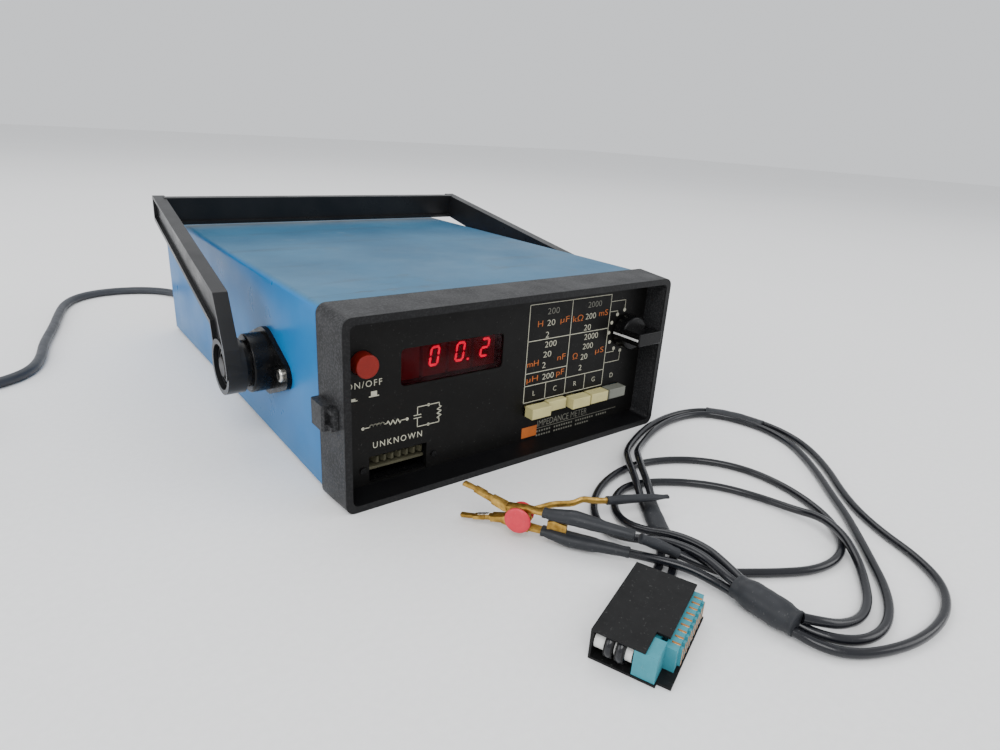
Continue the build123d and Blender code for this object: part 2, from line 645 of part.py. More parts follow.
LOOP_ROUTE = [
    (LEFT, SLEEVE_BACK, HIGH), (0.5, -300, 8.9), (2.5, -287, 8.9), (-2, -272, 7.8), (-10, -260, 4.2),
    (-13, -247, 2.3), (-7, -233, 2.2), (9, -219, 2.2), (32, -210, 2.2), (55, -209, 2.2),
    (77, -217, 2.2), (93, -230, 2.2), (103, -248, 2.2), (104, -270, 2.2), (98, -291, 2.2),
    (88, -307, 2.2), (75, -317, 2.2), (60, -321, 2.2), (45, -319, 2.2), (31, -312, 2.2),
    (18, -304, 2.2), (9, -298.5, 2.4), (3, -292, 4.0), (-3.6, -282.0, 7.0),
]
SECOND_ROUTE = [
    (RIGHT, SLEEVE_BACK, HIGH), (5.5, -300, 8.9), (8.5, -287, 8.9), (5.5, -272, 8.1), (0, -259, 4.6),
    (0, -244, 2.3), (10, -230, 2.2), (26, -223, 2.2), (43, -227, 2.2), (60, -238, 2.2),
    (73, -252, 2.2), (81, -270, 2.3), (84, -287, 3.2), (83, -301, 6.8), (77, -315, 7.0),
    (68, -327, 3.4), (56, -336, 2.2), (43, -343.5, 2.2), (30, -346.5, 2.6), (17, -345, 5.0),
    (8, -341, 7.6), (RIGHT, SLEEVE_FRONT, HIGH),
]
CLIP_ROUTE = [
    (LEFT, SLEEVE_BACK, LOW), (-3, -301, 4.6), (-7, -291, 6.4), (-14, -280, 6.9), (-20.6, -266.6, 5.0),
]


def corner_radii(route):
    """Each corner's arc is as large as its two runs allow."""
    points = [Vector(*p) for p in route]
    radii = []
    for a, b, c in zip(points, points[1:], points[2:]):
        turn = math.radians((b - a).get_angle(c - b))
        radii.append(0.45 * min((b - a).length, (c - b).length) / math.tan(turn / 2))
    return radii


def cord_tube(name, route, diameter):
    """A round tube along straight runs joined by tangent arcs."""
    radii = corner_radii(route)
    path = FilletPolyline(*route, radius=radii)
    start = Plane(origin=path @ 0, z_dir=path % 0)
    tube = sweep(start * Circle(diameter / 2), path=path)
    length = path.length
    ideal = math.pi * diameter**2 / 4 * length
    print(name, "length", round(length), "tightest", round(min(radii), 1), "volume ratio",
          round(tube.volume / ideal, 4))
    return tube


def cord_gland():
    """The moulded strain relief: a collar in the panel and a tapered sleeve."""
    y = REAR_PANEL_Y + 2.02
    collar = rod_y(5.5, GLAND_X, y - 6.0, y + 1.0, GLAND_Z)
    collar += rod_y(8.0, GLAND_X, y, y + 4.0, GLAND_Z)
    wide = upright(y + 4.0, GLAND_X, GLAND_Z) * Circle(6.2)
    narrow = upright(CORD_EXIT[1], GLAND_X, GLAND_Z) * Circle(4.6)
    return collar + loft([wide, narrow])


def cord_coil():
    """The put-away length, as the outer shape of its wound turns."""
    ring = rod_z(COIL_R + COIL_BAND, COIL_MID[0], COIL_MID[1], 0.05, COIL_TOP)
    ring -= rod_z(COIL_R - COIL_BAND, COIL_MID[0], COIL_MID[1], -1, COIL_TOP + 1)
    return ring


def cord_plug():
    """A three-pin mains plug lying on the coil's near side."""
    x, y, z = COIL_MID[0] + 4.0, COIL_MID[1] - 70.0, 13.0
    body = block(x - 14, x + 14, y - 14, y + 19, z - 12.9, z + 9)
    body = chamfer(body.edges().filter_by(Axis.Y), 3.0)
    return body


def clip_point(pivot, way, along, across, up):
    """A point in a clip's own frame: along the handles, across towards the cap, and up."""
    x = pivot[0] + along * way[0] + across * way[1]
    y = pivot[1] + along * way[1] - across * way[0]
    return (x, y, pivot[2] + up)


def clip_plane(pivot, way, across):
    """A clip's side plane at a distance across, with its X along the handles and its Y up."""
    origin = clip_point(pivot, way, 0, across, 0)
    return Plane(origin=origin, x_dir=(way[0], way[1], 0), z_dir=(way[1], -way[0], 0))


def clip_strip(pivot, way, outline, low, high):
    """An outline in the clip's side view, made solid from one distance across to another."""
    plane = clip_plane(pivot, way, low)
    return extrude(plane * Polygon(*outline, align=None), amount=high - low, dir=plane.z_dir)


def clip_pin(pivot, way, radius, low, high):
    plane = clip_plane(pivot, way, low)
    return extrude(plane * Circle(radius), amount=high - low, dir=plane.z_dir)


UPPER_JAW = [(-29, 9.2), (-28.2, 11), (-20, 8.4), (-13, 6.4), (-7, 4.6), (-5, 1.2), (-8, 1.6), (-14, 4),
             (-20, 6.6)]
UPPER_HANDLE = [(-7, 1.4), (-7, 4.6), (3, 5.6), (12, 5.2), (25, 6.6), (36, 5.6), (36, 4.2), (25, 5),
                (12, 3.8), (4, 3.6), (-4, 1.2)]
UPPER_CHEEK = [(-5.5, 0.8), (-5.5, 4.4), (3, 5.4), (5, 2), (2.6, -2.2), (-2.6, -2.2)]
LOWER_JAW = [(-29.5, -6.2), (-28.6, -8), (-20, -6.4), (-13, -5.2), (-7, -4.2), (-5, -1.4), (-8, -1.2),
             (-14, -2.9), (-20, -4.4)]
LOWER_HANDLE = [(-7, -1.4), (-7, -4.4), (3, -5.6), (12, -5.4), (25, -7), (36, -6.2), (36, -4.8), (25, -5.4),
                (12, -3.9), (4, -3.7), (-4, -3.4)]
LOWER_CHEEK = [(-8, -0.6), (-8, -4.2), (3, -5.8), (5, -2), (2.6, 2.2), (-2.6, 2.2)]
ARM_HALF = 2.4                      # half the width of a clip's jaw and handle
PIN_BORE = 1.26


def clip_lower_arm():
    """The half that lies lowest: its cheeks stand outside the upper half's."""
    arm = clip_strip(PIVOT, CLIP_WAY, LOWER_JAW, -ARM_HALF, ARM_HALF)
    arm += clip_strip(PIVOT, CLIP_WAY, LOWER_HANDLE, -ARM_HALF, ARM_HALF)
    clear = [(-7.6, -3.2), (-7.6, 7), (12, 7), (12, -3.2)]
    arm -= clip_strip(PIVOT, CLIP_WAY, clear, -ARM_HALF - 1, ARM_HALF + 1)
    for low, high in ((-3.6, -2.6), (2.6, 3.6)):
        arm += clip_strip(PIVOT, CLIP_WAY, LOWER_CHEEK, low, high)
    for bridge in ([(-8, -3.3), (-8, -4.2), (-6, -4.5), (-6, -3.3)], [(2, -4.4), (2, -5.6), (5, -5.6), (5, -4.4)]):
        arm += clip_strip(PIVOT, CLIP_WAY, bridge, -3.6, 3.6)
    return arm - clip_pin(PIVOT, CLIP_WAY, PIN_BORE, -8, 8)


def clip_upper_arm():
    """The moving half, with the sleeve on its handle."""
    arm = clip_strip(PIVOT, CLIP_WAY, UPPER_JAW, -ARM_HALF + 0.2, ARM_HALF - 0.2)
    arm += clip_strip(PIVOT, CLIP_WAY, UPPER_HANDLE, -ARM_HALF + 0.2, ARM_HALF - 0.2)
    for low, high in ((-2.0, -1.0), (1.0, 2.0)):
        arm += clip_strip(PIVOT, CLIP_WAY, UPPER_CHEEK, low, high)
    arm -= clip_pin(PIVOT, CLIP_WAY, PIN_BORE, -8, 8)
    return arm + clip_sleeve(((11.5, 4.6), (25, 5.8), (36, 4.9), (50, 4.2)))


BAR = ((-31, -229, 12.8), (-22, -233, 12.4), (-17, -235, 14.3), (-12, -236.2, 12.6), (-6, -237.3, 11),
       (1, -239, 10.2))
BAR_SLEEVE = ((-3, -237.9, 10.6), (10, -242.4, 9.8), (20, -246, 9.2), (29, -249.4, 8.8))


def clip_third_arm():
    """A third contact: an eye behind the clip, then a kinked bar that ends in a sleeve."""
    start = clip_point(PIVOT, CLIP_WAY, 3.4, -5.4, 1.2)
    eye = clip_pin(PIVOT, CLIP_WAY, 4.2, -5.5, -3.9)
    arm = eye + sleeve_run((start, *BAR), [1.45] * 7)
    arm += sleeve_run(BAR_SLEEVE, (2.3, 2.4, 2.1, 1.7))
    return arm - clip_pin(PIVOT, CLIP_WAY, PIN_BORE, -8, 8)


def sleeve_run(points, radii):
    """A heat-shrink sleeve through round sections at the given points."""
    body = Part()
    for a, b, ra, rb in zip(points, points[1:], radii, radii[1:]):
        way = Vector(*b) - Vector(*a)
        first = Plane(origin=a, z_dir=way) * Circle(ra)
        second = Plane(origin=b, z_dir=way) * Circle(rb)
        body += loft([first, second])
        body += Pos(*b) * Sphere(rb)
    return body


def clip_sleeve(stations):
    """The shrunk sleeve on one of the clip's handles."""
    points = [clip_point(PIVOT, CLIP_WAY, a, 0, b) for a, b in stations]
    return sleeve_run(points, (2.3, 2.7, 2.6, 2.3))


def clip_cap():
    """The pivot pin, with a round cap on the side that faces the user and a small head behind."""
    cap = clip_pin(PIVOT, CLIP_WAY, PIN_BORE - 0.06, -5.8, 4.0)
    cap += clip_pin(PIVOT, CLIP_WAY, 6.0, 3.95, 5.6)
    return cap + clip_pin(PIVOT, CLIP_WAY, 2.2, -6.4, -5.75)


def lead_sleeves():
    """The sleeves on the leads: one round all of them, one round a pair, and those on the clips."""
    x, y, z = SLEEVE_MID
    sleeves = rod_y(SLEEVE_R, x, SLEEVE_FRONT, SLEEVE_BACK, z)
    pair = ((152.6, -182.4), (163.2, -200.2), (167.2, -215.0))
    for a, b in zip(pair, pair[1:]):
        long = math.dist(a, b)
        turn = math.degrees(math.atan2(b[1] - a[1], b[0] - a[0]))
        bar = Box(long, 9.4, 5.2)
        bar = fillet(bar.edges().filter_by(Axis.X), 2.4)
        sleeves += Pos((a[0] + b[0]) / 2, (a[1] + b[1]) / 2, 2.8) * Rot(0, 0, turn) * bar
    taper = Pos(15.8, -252.6, 2.8) * Rot(0, 0, 55.5) * Box(24.0, 9.6, 5.2)
    sleeves += fillet(taper.edges().group_by(Axis.Z)[-1], 1.6)
    sleeves += clip_sleeve(((11.5, -4.8), (25, -6.2), (36, -5.5), (50, -5.0)))
    sleeves += sleeve_run([(-17.6, -271.4, 13.9), (-11, -276, 11.0), (-3.6, -282.0, 7.0)], (2.4, 2.5, 2.3))
    return sleeves


def plug_point(along, across, up):
    ux, uy = PLUG_ALONG
    return (PLUG_CORNER[0] + along * ux + across * uy, PLUG_CORNER[1] + along * uy - across * ux, up)


def plug_block_at(a0, a1, c0, c1, z0, z1):
    """A box in the lead plug's own frame: along it, across it and up."""
    turn = math.degrees(math.atan2(PLUG_ALONG[1], PLUG_ALONG[0]))
    middle = plug_point((a0 + a1) / 2, (c0 + c1) / 2, (z0 + z1) / 2)
    return Pos(*middle) * Rot(0, 0, turn) * Box(a1 - a0, c1 - c0, z1 - z0)


def lead_plug_rod():
    """The white rod at the plug's open end that the leads are wound round."""
    a = plug_point(4.2, 0.8, 6.9)
    b = plug_point(4.2, 15.8, 6.9)
    way = Vector(*b) - Vector(*a)
    rod = extrude(Plane(origin=a, z_dir=way) * Circle(3.3), amount=15.0)
    for across in (7.0, 11.2):
        ring = Plane(origin=plug_point(4.2, across - 1.6, 6.9), z_dir=way) * Circle(5.0)
        rod += extrude(ring, amount=3.2)
    return rod


def lead_plug_cover():
    """A folded sheet cover, open at both ends and along one side, with a rod across one end."""
    cover = plug_block_at(0, PLUG_L, 0, PLUG_W, 0.15, PLUG_H)
    cover -= plug_block_at(-1, PLUG_L + 1, 0.9, PLUG_W + 1, 1.05, PLUG_H - 0.9)
    cover += plug_block_at(2, PLUG_L - 2, PLUG_W - 1, PLUG_W + 5, 0.15, 1.05)
    cover -= plug_block_at(-1, 12, PLUG_W - 5, PLUG_W + 1, PLUG_H - 1, PLUG_H + 1)
    return cover + lead_plug_rod()


def lead_plug_block():
    """The edge connector's body and its end block."""
    body = plug_block_at(9.5, PLUG_L - 1.5, 17.0, 28.5, 1.1, 10.6)
    body += plug_block_at(0.4, 10.2, 16.0, 24.5, 1.1, 12.0)
    body -= plug_block_at(12, PLUG_L - 4, 21.5, 24.0, 5.0, 13.0)
    body += plug_block_at(38.0, PLUG_L + 1.5, 2.5, 17.5, 1.15, 6.2)
    for index in range(CONTACTS):
        start = CONTACT_START + index * CONTACT_PITCH
        body += plug_block_at(start, start + 1.6, 28.3, 29.6, 2.2, 9.6)
    return body


if __name__ == "__main__":
    NODES = {
        "front_bezel": front_bezel, "side_catches": side_catches, "top_cover": top_cover,
        "bottom_cover": bottom_cover, "bench_feet": bench_feet, "rear_panel": rear_panel,
        "rear_bumpers": rear_bumpers, "case_screws": case_screws, "chassis_rails": chassis_rails,
        "front_panel": front_panel, "panel_screws": panel_screws,
        "display_window": display_window, "display_digits": display_digits,
        "display_board": display_board, "key_bank": key_bank, "standoffs": standoffs,
        "power_button": power_button, "power_switch": power_switch, "range_knob": range_knob,
        "knob_shaft": knob_shaft, "range_switch": range_switch, "range_nut": range_nut,
        "test_socket": test_socket, "socket_comb": socket_comb,
        "main_board": main_board, "board_chips": board_chips, "supply_board": supply_board,
        "filter_capacitors": filter_capacitors, "regulator_heatsink": regulator_heatsink,
        "transformer_core": transformer_core, "transformer_coil": transformer_coil,
        "fuse_holder": fuse_holder, "fuse_cap": fuse_cap, "selector_body": selector_body,
        "selector_slide": selector_slide, "handle_bar": handle_bar, "hub_brackets": hub_brackets,
        "bracket_screws": bracket_screws, "pivot_screws": pivot_screws, "cord_gland": cord_gland,
        "cord_coil": cord_coil, "cord_plug": cord_plug,
        "lead_plug_cover": lead_plug_cover, "lead_plug_block": lead_plug_block,
        "clip_lower_arm": clip_lower_arm, "clip_upper_arm": clip_upper_arm,
        "clip_third_arm": clip_third_arm, "clip_cap": clip_cap, "lead_sleeves": lead_sleeves,
    }
    for node, make in NODES.items():
        save(make(), node)
    KEYS = {"key_l": KEY_OUT, "key_c": KEY_OUT - KEY_TRAVEL, "key_r": KEY_OUT, "key_g": KEY_OUT - 0.6,
            "key_d": KEY_OUT - 0.9}
    for index, (node, out) in enumerate(KEYS.items()):
        save(key_cap(index, out), node)
    save(cord_tube("power_cord", CORD_ROUTE, CORD_D), "power_cord")
    LEADS = {"lead_outer": OUTER_ROUTE, "lead_inner": INNER_ROUTE, "lead_loop": LOOP_ROUTE,
             "lead_second": SECOND_ROUTE, "lead_clip": CLIP_ROUTE}
    for node, route in LEADS.items():
        save(cord_tube(node, route, LEAD_D), node)
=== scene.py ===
import json
import math
import bpy
import bmesh
from mathutils import Matrix, Vector


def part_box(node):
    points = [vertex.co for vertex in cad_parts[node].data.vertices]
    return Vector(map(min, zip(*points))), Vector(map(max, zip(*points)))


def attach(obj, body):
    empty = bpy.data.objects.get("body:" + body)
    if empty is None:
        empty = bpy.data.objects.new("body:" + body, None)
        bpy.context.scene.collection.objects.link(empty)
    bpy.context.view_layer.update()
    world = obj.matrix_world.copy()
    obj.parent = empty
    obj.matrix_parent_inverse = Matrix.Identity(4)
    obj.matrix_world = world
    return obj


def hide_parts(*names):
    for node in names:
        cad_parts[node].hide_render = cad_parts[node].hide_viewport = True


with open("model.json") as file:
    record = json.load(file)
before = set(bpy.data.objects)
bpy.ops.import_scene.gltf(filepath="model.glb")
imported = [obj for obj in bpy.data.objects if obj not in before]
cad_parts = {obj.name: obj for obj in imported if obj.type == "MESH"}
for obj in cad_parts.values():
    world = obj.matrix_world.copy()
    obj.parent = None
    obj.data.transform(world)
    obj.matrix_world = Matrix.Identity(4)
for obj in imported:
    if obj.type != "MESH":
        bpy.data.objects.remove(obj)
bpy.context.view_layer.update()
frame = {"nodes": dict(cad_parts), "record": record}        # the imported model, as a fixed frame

MM = 0.001
MAINS_D = 0.0068
LEAD_D = 0.004


# ---- camera ----
cam_data = bpy.data.cameras.new("camera")
cam_data.sensor_width = 36
cam_data.lens = 23.63
cam_data.clip_start = 0.02
cam_data.clip_end = 20
camera = bpy.data.objects.new("camera", cam_data)
bpy.context.scene.collection.objects.link(camera)
right = Vector((0.79814, -0.59953, 0.05942))
up = Vector((0.16525, 0.31270, 0.93537))
back = Vector((-0.57936, -0.73673, 0.34865))
turn = Matrix((right, up, back)).transposed()
camera.matrix_world = Matrix.Translation((-0.21904, -0.42229, 0.17552)) @ turn.to_4x4()
bpy.context.scene.camera = camera


# ---- materials ----
class Nodes:
    """A short way to build one material's nodes."""

    def __init__(self, name):
        self.mat = bpy.data.materials.new(name)
        self.mat.use_nodes = True
        self.tree = self.mat.node_tree
        self.bsdf = self.tree.nodes["Principled BSDF"]
        self.coords = self.tree.nodes.new("ShaderNodeTexCoord").outputs["Object"]

    def link(self, a, b):
        self.tree.links.new(a, b)

    def add(self, kind, **values):
        node = self.tree.nodes.new(kind)
        for key, value in values.items():
            setattr(node, key, value)
        return node

    def noise(self, scale, detail=4.0, stretch=(1, 1, 1), rough=0.55):
        mapping = self.add("ShaderNodeMapping")
        mapping.inputs["Scale"].default_value = stretch
        self.link(self.coords, mapping.inputs["Vector"])
        node = self.add("ShaderNodeTexNoise")
        node.inputs["Scale"].default_value = scale
        node.inputs["Detail"].default_value = detail
        node.inputs["Roughness"].default_value = rough
        self.link(mapping.outputs["Vector"], node.inputs["Vector"])
        return node.outputs["Fac"]

    def span(self, value, low, high, a=0.0, b=1.0):
        node = self.add("ShaderNodeMapRange")
        for key, number in (("From Min", low), ("From Max", high), ("To Min", a), ("To Max", b)):
            node.inputs[key].default_value = number
        self.link(value, node.inputs["Value"])
        return node.outputs["Result"]

    def mix(self, fac, a, b, mode="MIX"):
        node = self.add("ShaderNodeMix", data_type="RGBA", blend_type=mode)
        for socket, value in ((node.inputs[0], fac), (node.inputs[6], a), (node.inputs[7], b)):
            if isinstance(value, (int, float)):
                socket.default_value = value
            elif isinstance(value, tuple):
                socket.default_value = (*value, 1)
            else:
                self.link(value, socket)
        return node.outputs[2]

    def math(self, op, a, b=0.0):
        node = self.add("ShaderNodeMath", operation=op)
        for socket, value in ((node.inputs[0], a), (node.inputs[1], b)):
            if isinstance(value, (int, float)):
                socket.default_value = value
            else:
                self.link(value, socket)
        return node.outputs[0]

    def axis(self, which, source=None):
        node = self.add("ShaderNodeSeparateXYZ")
        self.link(source or self.coords, node.inputs[0])
        return node.outputs[which]

    def color(self, value):
        socket = self.bsdf.inputs["Base Color"]
        if isinstance(value, tuple):
            socket.default_value = (*value, 1)
        else:
            self.link(value, socket)

    def rough(self, value):
        socket = self.bsdf.inputs["Roughness"]
        if isinstance(value, (int, float)):
            socket.default_value = value
        else:
            self.link(value, socket)

    def bump(self, height, strength, depth):
        node = self.add("ShaderNodeBump")
        node.inputs["Strength"].default_value = strength
        node.inputs["Distance"].default_value = depth
        self.link(height, node.inputs["Height"])
        self.link(node.outputs["Normal"], self.bsdf.inputs["Normal"])


def shade(rgb, k):
    return tuple(min(1.0, c * k) for c in rgb)


def plain(name, rgb, rough, metal=0.0, vary=0.14, scale=90, grain=900, depth=0.00004,
          dust=0.0, dust_rgb=(0.5, 0.5, 0.48), stretch=(1, 1, 1), coat=0.0, strength=0.35, shine=0.3):
    """One material: patchy colour, uneven gloss, a fine grain and a little dust."""
    n = Nodes(name)
    patch = n.span(n.noise(scale, 5), 0.3, 0.7)
    base = n.mix(patch, shade(rgb, 1 - vary), shade(rgb, 1 + vary))
    fine = n.noise(grain, 3, stretch)
    base = n.mix(n.span(fine, 0.35, 0.75, 0.0, 0.25), base, shade(rgb, 1.25))
    if dust:
        specks = n.span(n.noise(scale * 9, 6, (1, 1, 1), 0.7), 0.62, 0.74, 0.0, dust)
        base = n.mix(specks, base, dust_rgb)
    n.color(base)
    n.rough(n.span(n.noise(scale * 1.7, 4), 0.3, 0.7, max(0.03, rough - 0.07), rough + 0.09))
    n.bsdf.inputs["Metallic"].default_value = metal
    n.bsdf.inputs["Specular IOR Level"].default_value = shine
    n.bsdf.inputs["Coat Weight"].default_value = coat
    n.bsdf.inputs["Coat Roughness"].default_value = 0.12
    n.bump(fine, strength, depth)
    return n.mat


def paint():
    """Satin blue paint: vivid on the sides, greyer and streaked on its upward faces, with scuffs that gather
    by the bezel.
    """
    n = Nodes("blue_paint")
    normal = n.add("ShaderNodeTexCoord").outputs["Normal"]
    top = n.span(n.axis(2, normal), 0.35, 0.9)
    cloud = n.span(n.noise(14, 6), 0.32, 0.7)
    side = n.mix(cloud, (0.006, 0.120, 0.325), (0.013, 0.158, 0.400))
    roof = n.mix(cloud, (0.022, 0.100, 0.185), (0.046, 0.148, 0.250))
    base = n.mix(top, side, roof)
    streaks = n.span(n.noise(60, 8, (0.14, 1.0, 1.0), 0.72), 0.56, 0.72, 0.0, 0.50)
    base = n.mix(n.math("MULTIPLY", streaks, top), base, (0.04, 0.055, 0.07))
    chalk = n.span(n.noise(85, 8, (0.25, 1.0, 1.0), 0.72), 0.62, 0.78, 0.0, 0.30)
    base = n.mix(n.math("MULTIPLY", chalk, top), base, (0.34, 0.41, 0.46))
    blots = n.span(n.noise(34, 3), 0.66, 0.70, 0.0, 0.22)
    base = n.mix(n.math("MULTIPLY", blots, top), base, (0.06, 0.075, 0.085))
    near = n.span(n.axis(1), -0.160, -0.115, 0.85, 0.10)
    scuffs = n.span(n.noise(150, 7, (0.35, 1.0, 1.0), 0.68), 0.60, 0.66)
    base = n.mix(n.math("MULTIPLY", n.math("MULTIPLY", scuffs, top), near), base, (0.045, 0.043, 0.045))
    specks = n.span(n.noise(420, 5, (1, 1, 1), 0.7), 0.69, 0.76, 0.0, 0.35)
    base = n.mix(specks, base, (0.20, 0.30, 0.36))
    low = n.span(n.axis(2), 0.004, 0.022, 0.30, 0.0)
    base = n.mix(low, base, (0.06, 0.13, 0.19))
    n.color(base)
    gloss = n.span(n.noise(24, 5), 0.3, 0.7, 0.26, 0.38)
    n.rough(n.math("ADD", gloss, n.math("MULTIPLY", top, 0.06)))
    n.bsdf.inputs["Specular IOR Level"].default_value = 0.11
    n.bsdf.inputs["Coat Weight"].default_value = 0.02
    n.bsdf.inputs["Coat Roughness"].default_value = 0.22
    n.bump(n.noise(700, 4), 0.22, 0.00005)
    return n.mat


def bezel_skin():
    """Charcoal plastic: a speckled grain, a few rubbed marks, darker on its front edge, and painted shade on
    its lower lip down in the recess.
    """
    n = Nodes("bezel_plastic")
    patch = n.span(n.noise(40, 5), 0.3, 0.7)
    base = n.mix(patch, (0.012, 0.0122, 0.0132), (0.020, 0.0202, 0.0212))
    front = n.span(n.axis(1), -0.1707, -0.1695, 0.8, 0.0)
    base = n.mix(front, base, (0.0025, 0.0025, 0.003))
    rub = n.span(n.noise(160, 8, (1, 1, 0.35), 0.75), 0.66, 0.76, 0.0, 0.5)
    base = n.mix(rub, base, (0.14, 0.14, 0.14))
    speckle = n.span(n.noise(1000, 2), 0.46, 0.64, 0.0, 0.55)
    base = n.mix(n.math("MULTIPLY", speckle, n.math("SUBTRACT", 1.0, front)), base, (0.060, 0.060, 0.062))
    normal = n.add("ShaderNodeTexCoord").outputs["Normal"]
    # painted shade: the upward faces of the lower lip, down in the recess, are darkened
    low = n.span(n.axis(2), 0.006, 0.014, 1.0, 0.0)
    lip = n.math("MULTIPLY", low, n.span(n.axis(2, normal), 0.5, 0.9))
    base = n.mix(lip, base, (0.003, 0.003, 0.0035))
    n.color(base)
    n.rough(n.span(n.noise(70, 4), 0.3, 0.7, 0.40, 0.55))
    n.bsdf.inputs["Specular IOR Level"].default_value = 0.2
    n.bump(n.noise(1300, 2), 0.8, 0.00009)
    return n.mat


def handle_skin():
    """Smooth black moulding, its colour lifted a little as a painted sheen, with a few hand-worn scuffs."""
    n = Nodes("handle_plastic")
    patch = n.span(n.noise(30, 5), 0.3, 0.7)
    # painted sheen: the black is lifted above the hub's black plastic to stand in for the arms' sheen at
    # grazing angles
    base = n.mix(patch, (0.0075, 0.0078, 0.0088), (0.0145, 0.0145, 0.0150))
    scuff = n.span(n.noise(220, 8, (1, 0.2, 1), 0.75), 0.65, 0.75, 0.0, 0.45)
    base = n.mix(scuff, base, (0.13, 0.125, 0.12))
    n.color(base)
    n.rough(n.span(n.noise(50, 5), 0.3, 0.7, 0.24, 0.40))
    n.bsdf.inputs["Specular IOR Level"].default_value = 0.22
    n.bsdf.inputs["Coat Weight"].default_value = 0.04
    n.bsdf.inputs["Coat Roughness"].default_value = 0.18
    n.bump(n.noise(800, 3), 0.25, 0.00005)
    return n.mat


def window_glass():
    """Dark red filter: mostly clear to the lit digits behind, with a soft sheen."""
    n = Nodes("window_red")
    n.color((0.030, 0.002, 0.004))
    n.rough(n.span(n.noise(90, 4), 0.3, 0.7, 0.10, 0.20))
    clear = n.add("ShaderNodeBsdfTransparent")
    clear.inputs["Color"].default_value = (0.62, 0.06, 0.22, 1)
    cover = n.span(n.noise(300, 4), 0.3, 0.7, 0.20, 0.30)
    both = n.add("ShaderNodeMixShader")
    n.link(cover, both.inputs[0])
    n.link(clear.outputs[0], both.inputs[1])
    n.link(n.bsdf.outputs[0], both.inputs[2])
    n.link(both.outputs[0], n.tree.nodes["Material Output"].inputs["Surface"])
    n.bump(n.noise(500, 2), 0.08, 0.00003)
    return n.mat


def lamp(name, rgb, power):
    """A lit segment whose light varies a little from patch to patch."""
    n = Nodes(name)
    n.color((0.5, 0.02, 0.03))
    n.rough(0.4)
    n.bsdf.inputs["Emission Color"].default_value = (*rgb, 1)
    n.link(n.span(n.noise(400, 2), 0.3, 0.7, power * 0.85, power * 1.15),
           n.bsdf.inputs["Emission Strength"])
    return n.mat


def brass_skin():
    """Brass in browned and bright patches, with a few darker spots."""
    n = Nodes("brass")
    patch = n.span(n.noise(260, 6), 0.35, 0.68)
    base = n.mix(patch, (0.28, 0.155, 0.028), (0.66, 0.410, 0.095))
    spots = n.span(n.noise(900, 5), 0.62, 0.72, 0.0, 0.5)
    n.color(n.mix(spots, base, (0.09, 0.055, 0.025)))
    n.rough(n.span(n.noise(420, 4), 0.3, 0.7, 0.28, 0.50))
    n.bsdf.inputs["Metallic"].default_value = 0.9
    n.bump(n.noise(1100, 3), 0.4, 0.00006)
    return n.mat


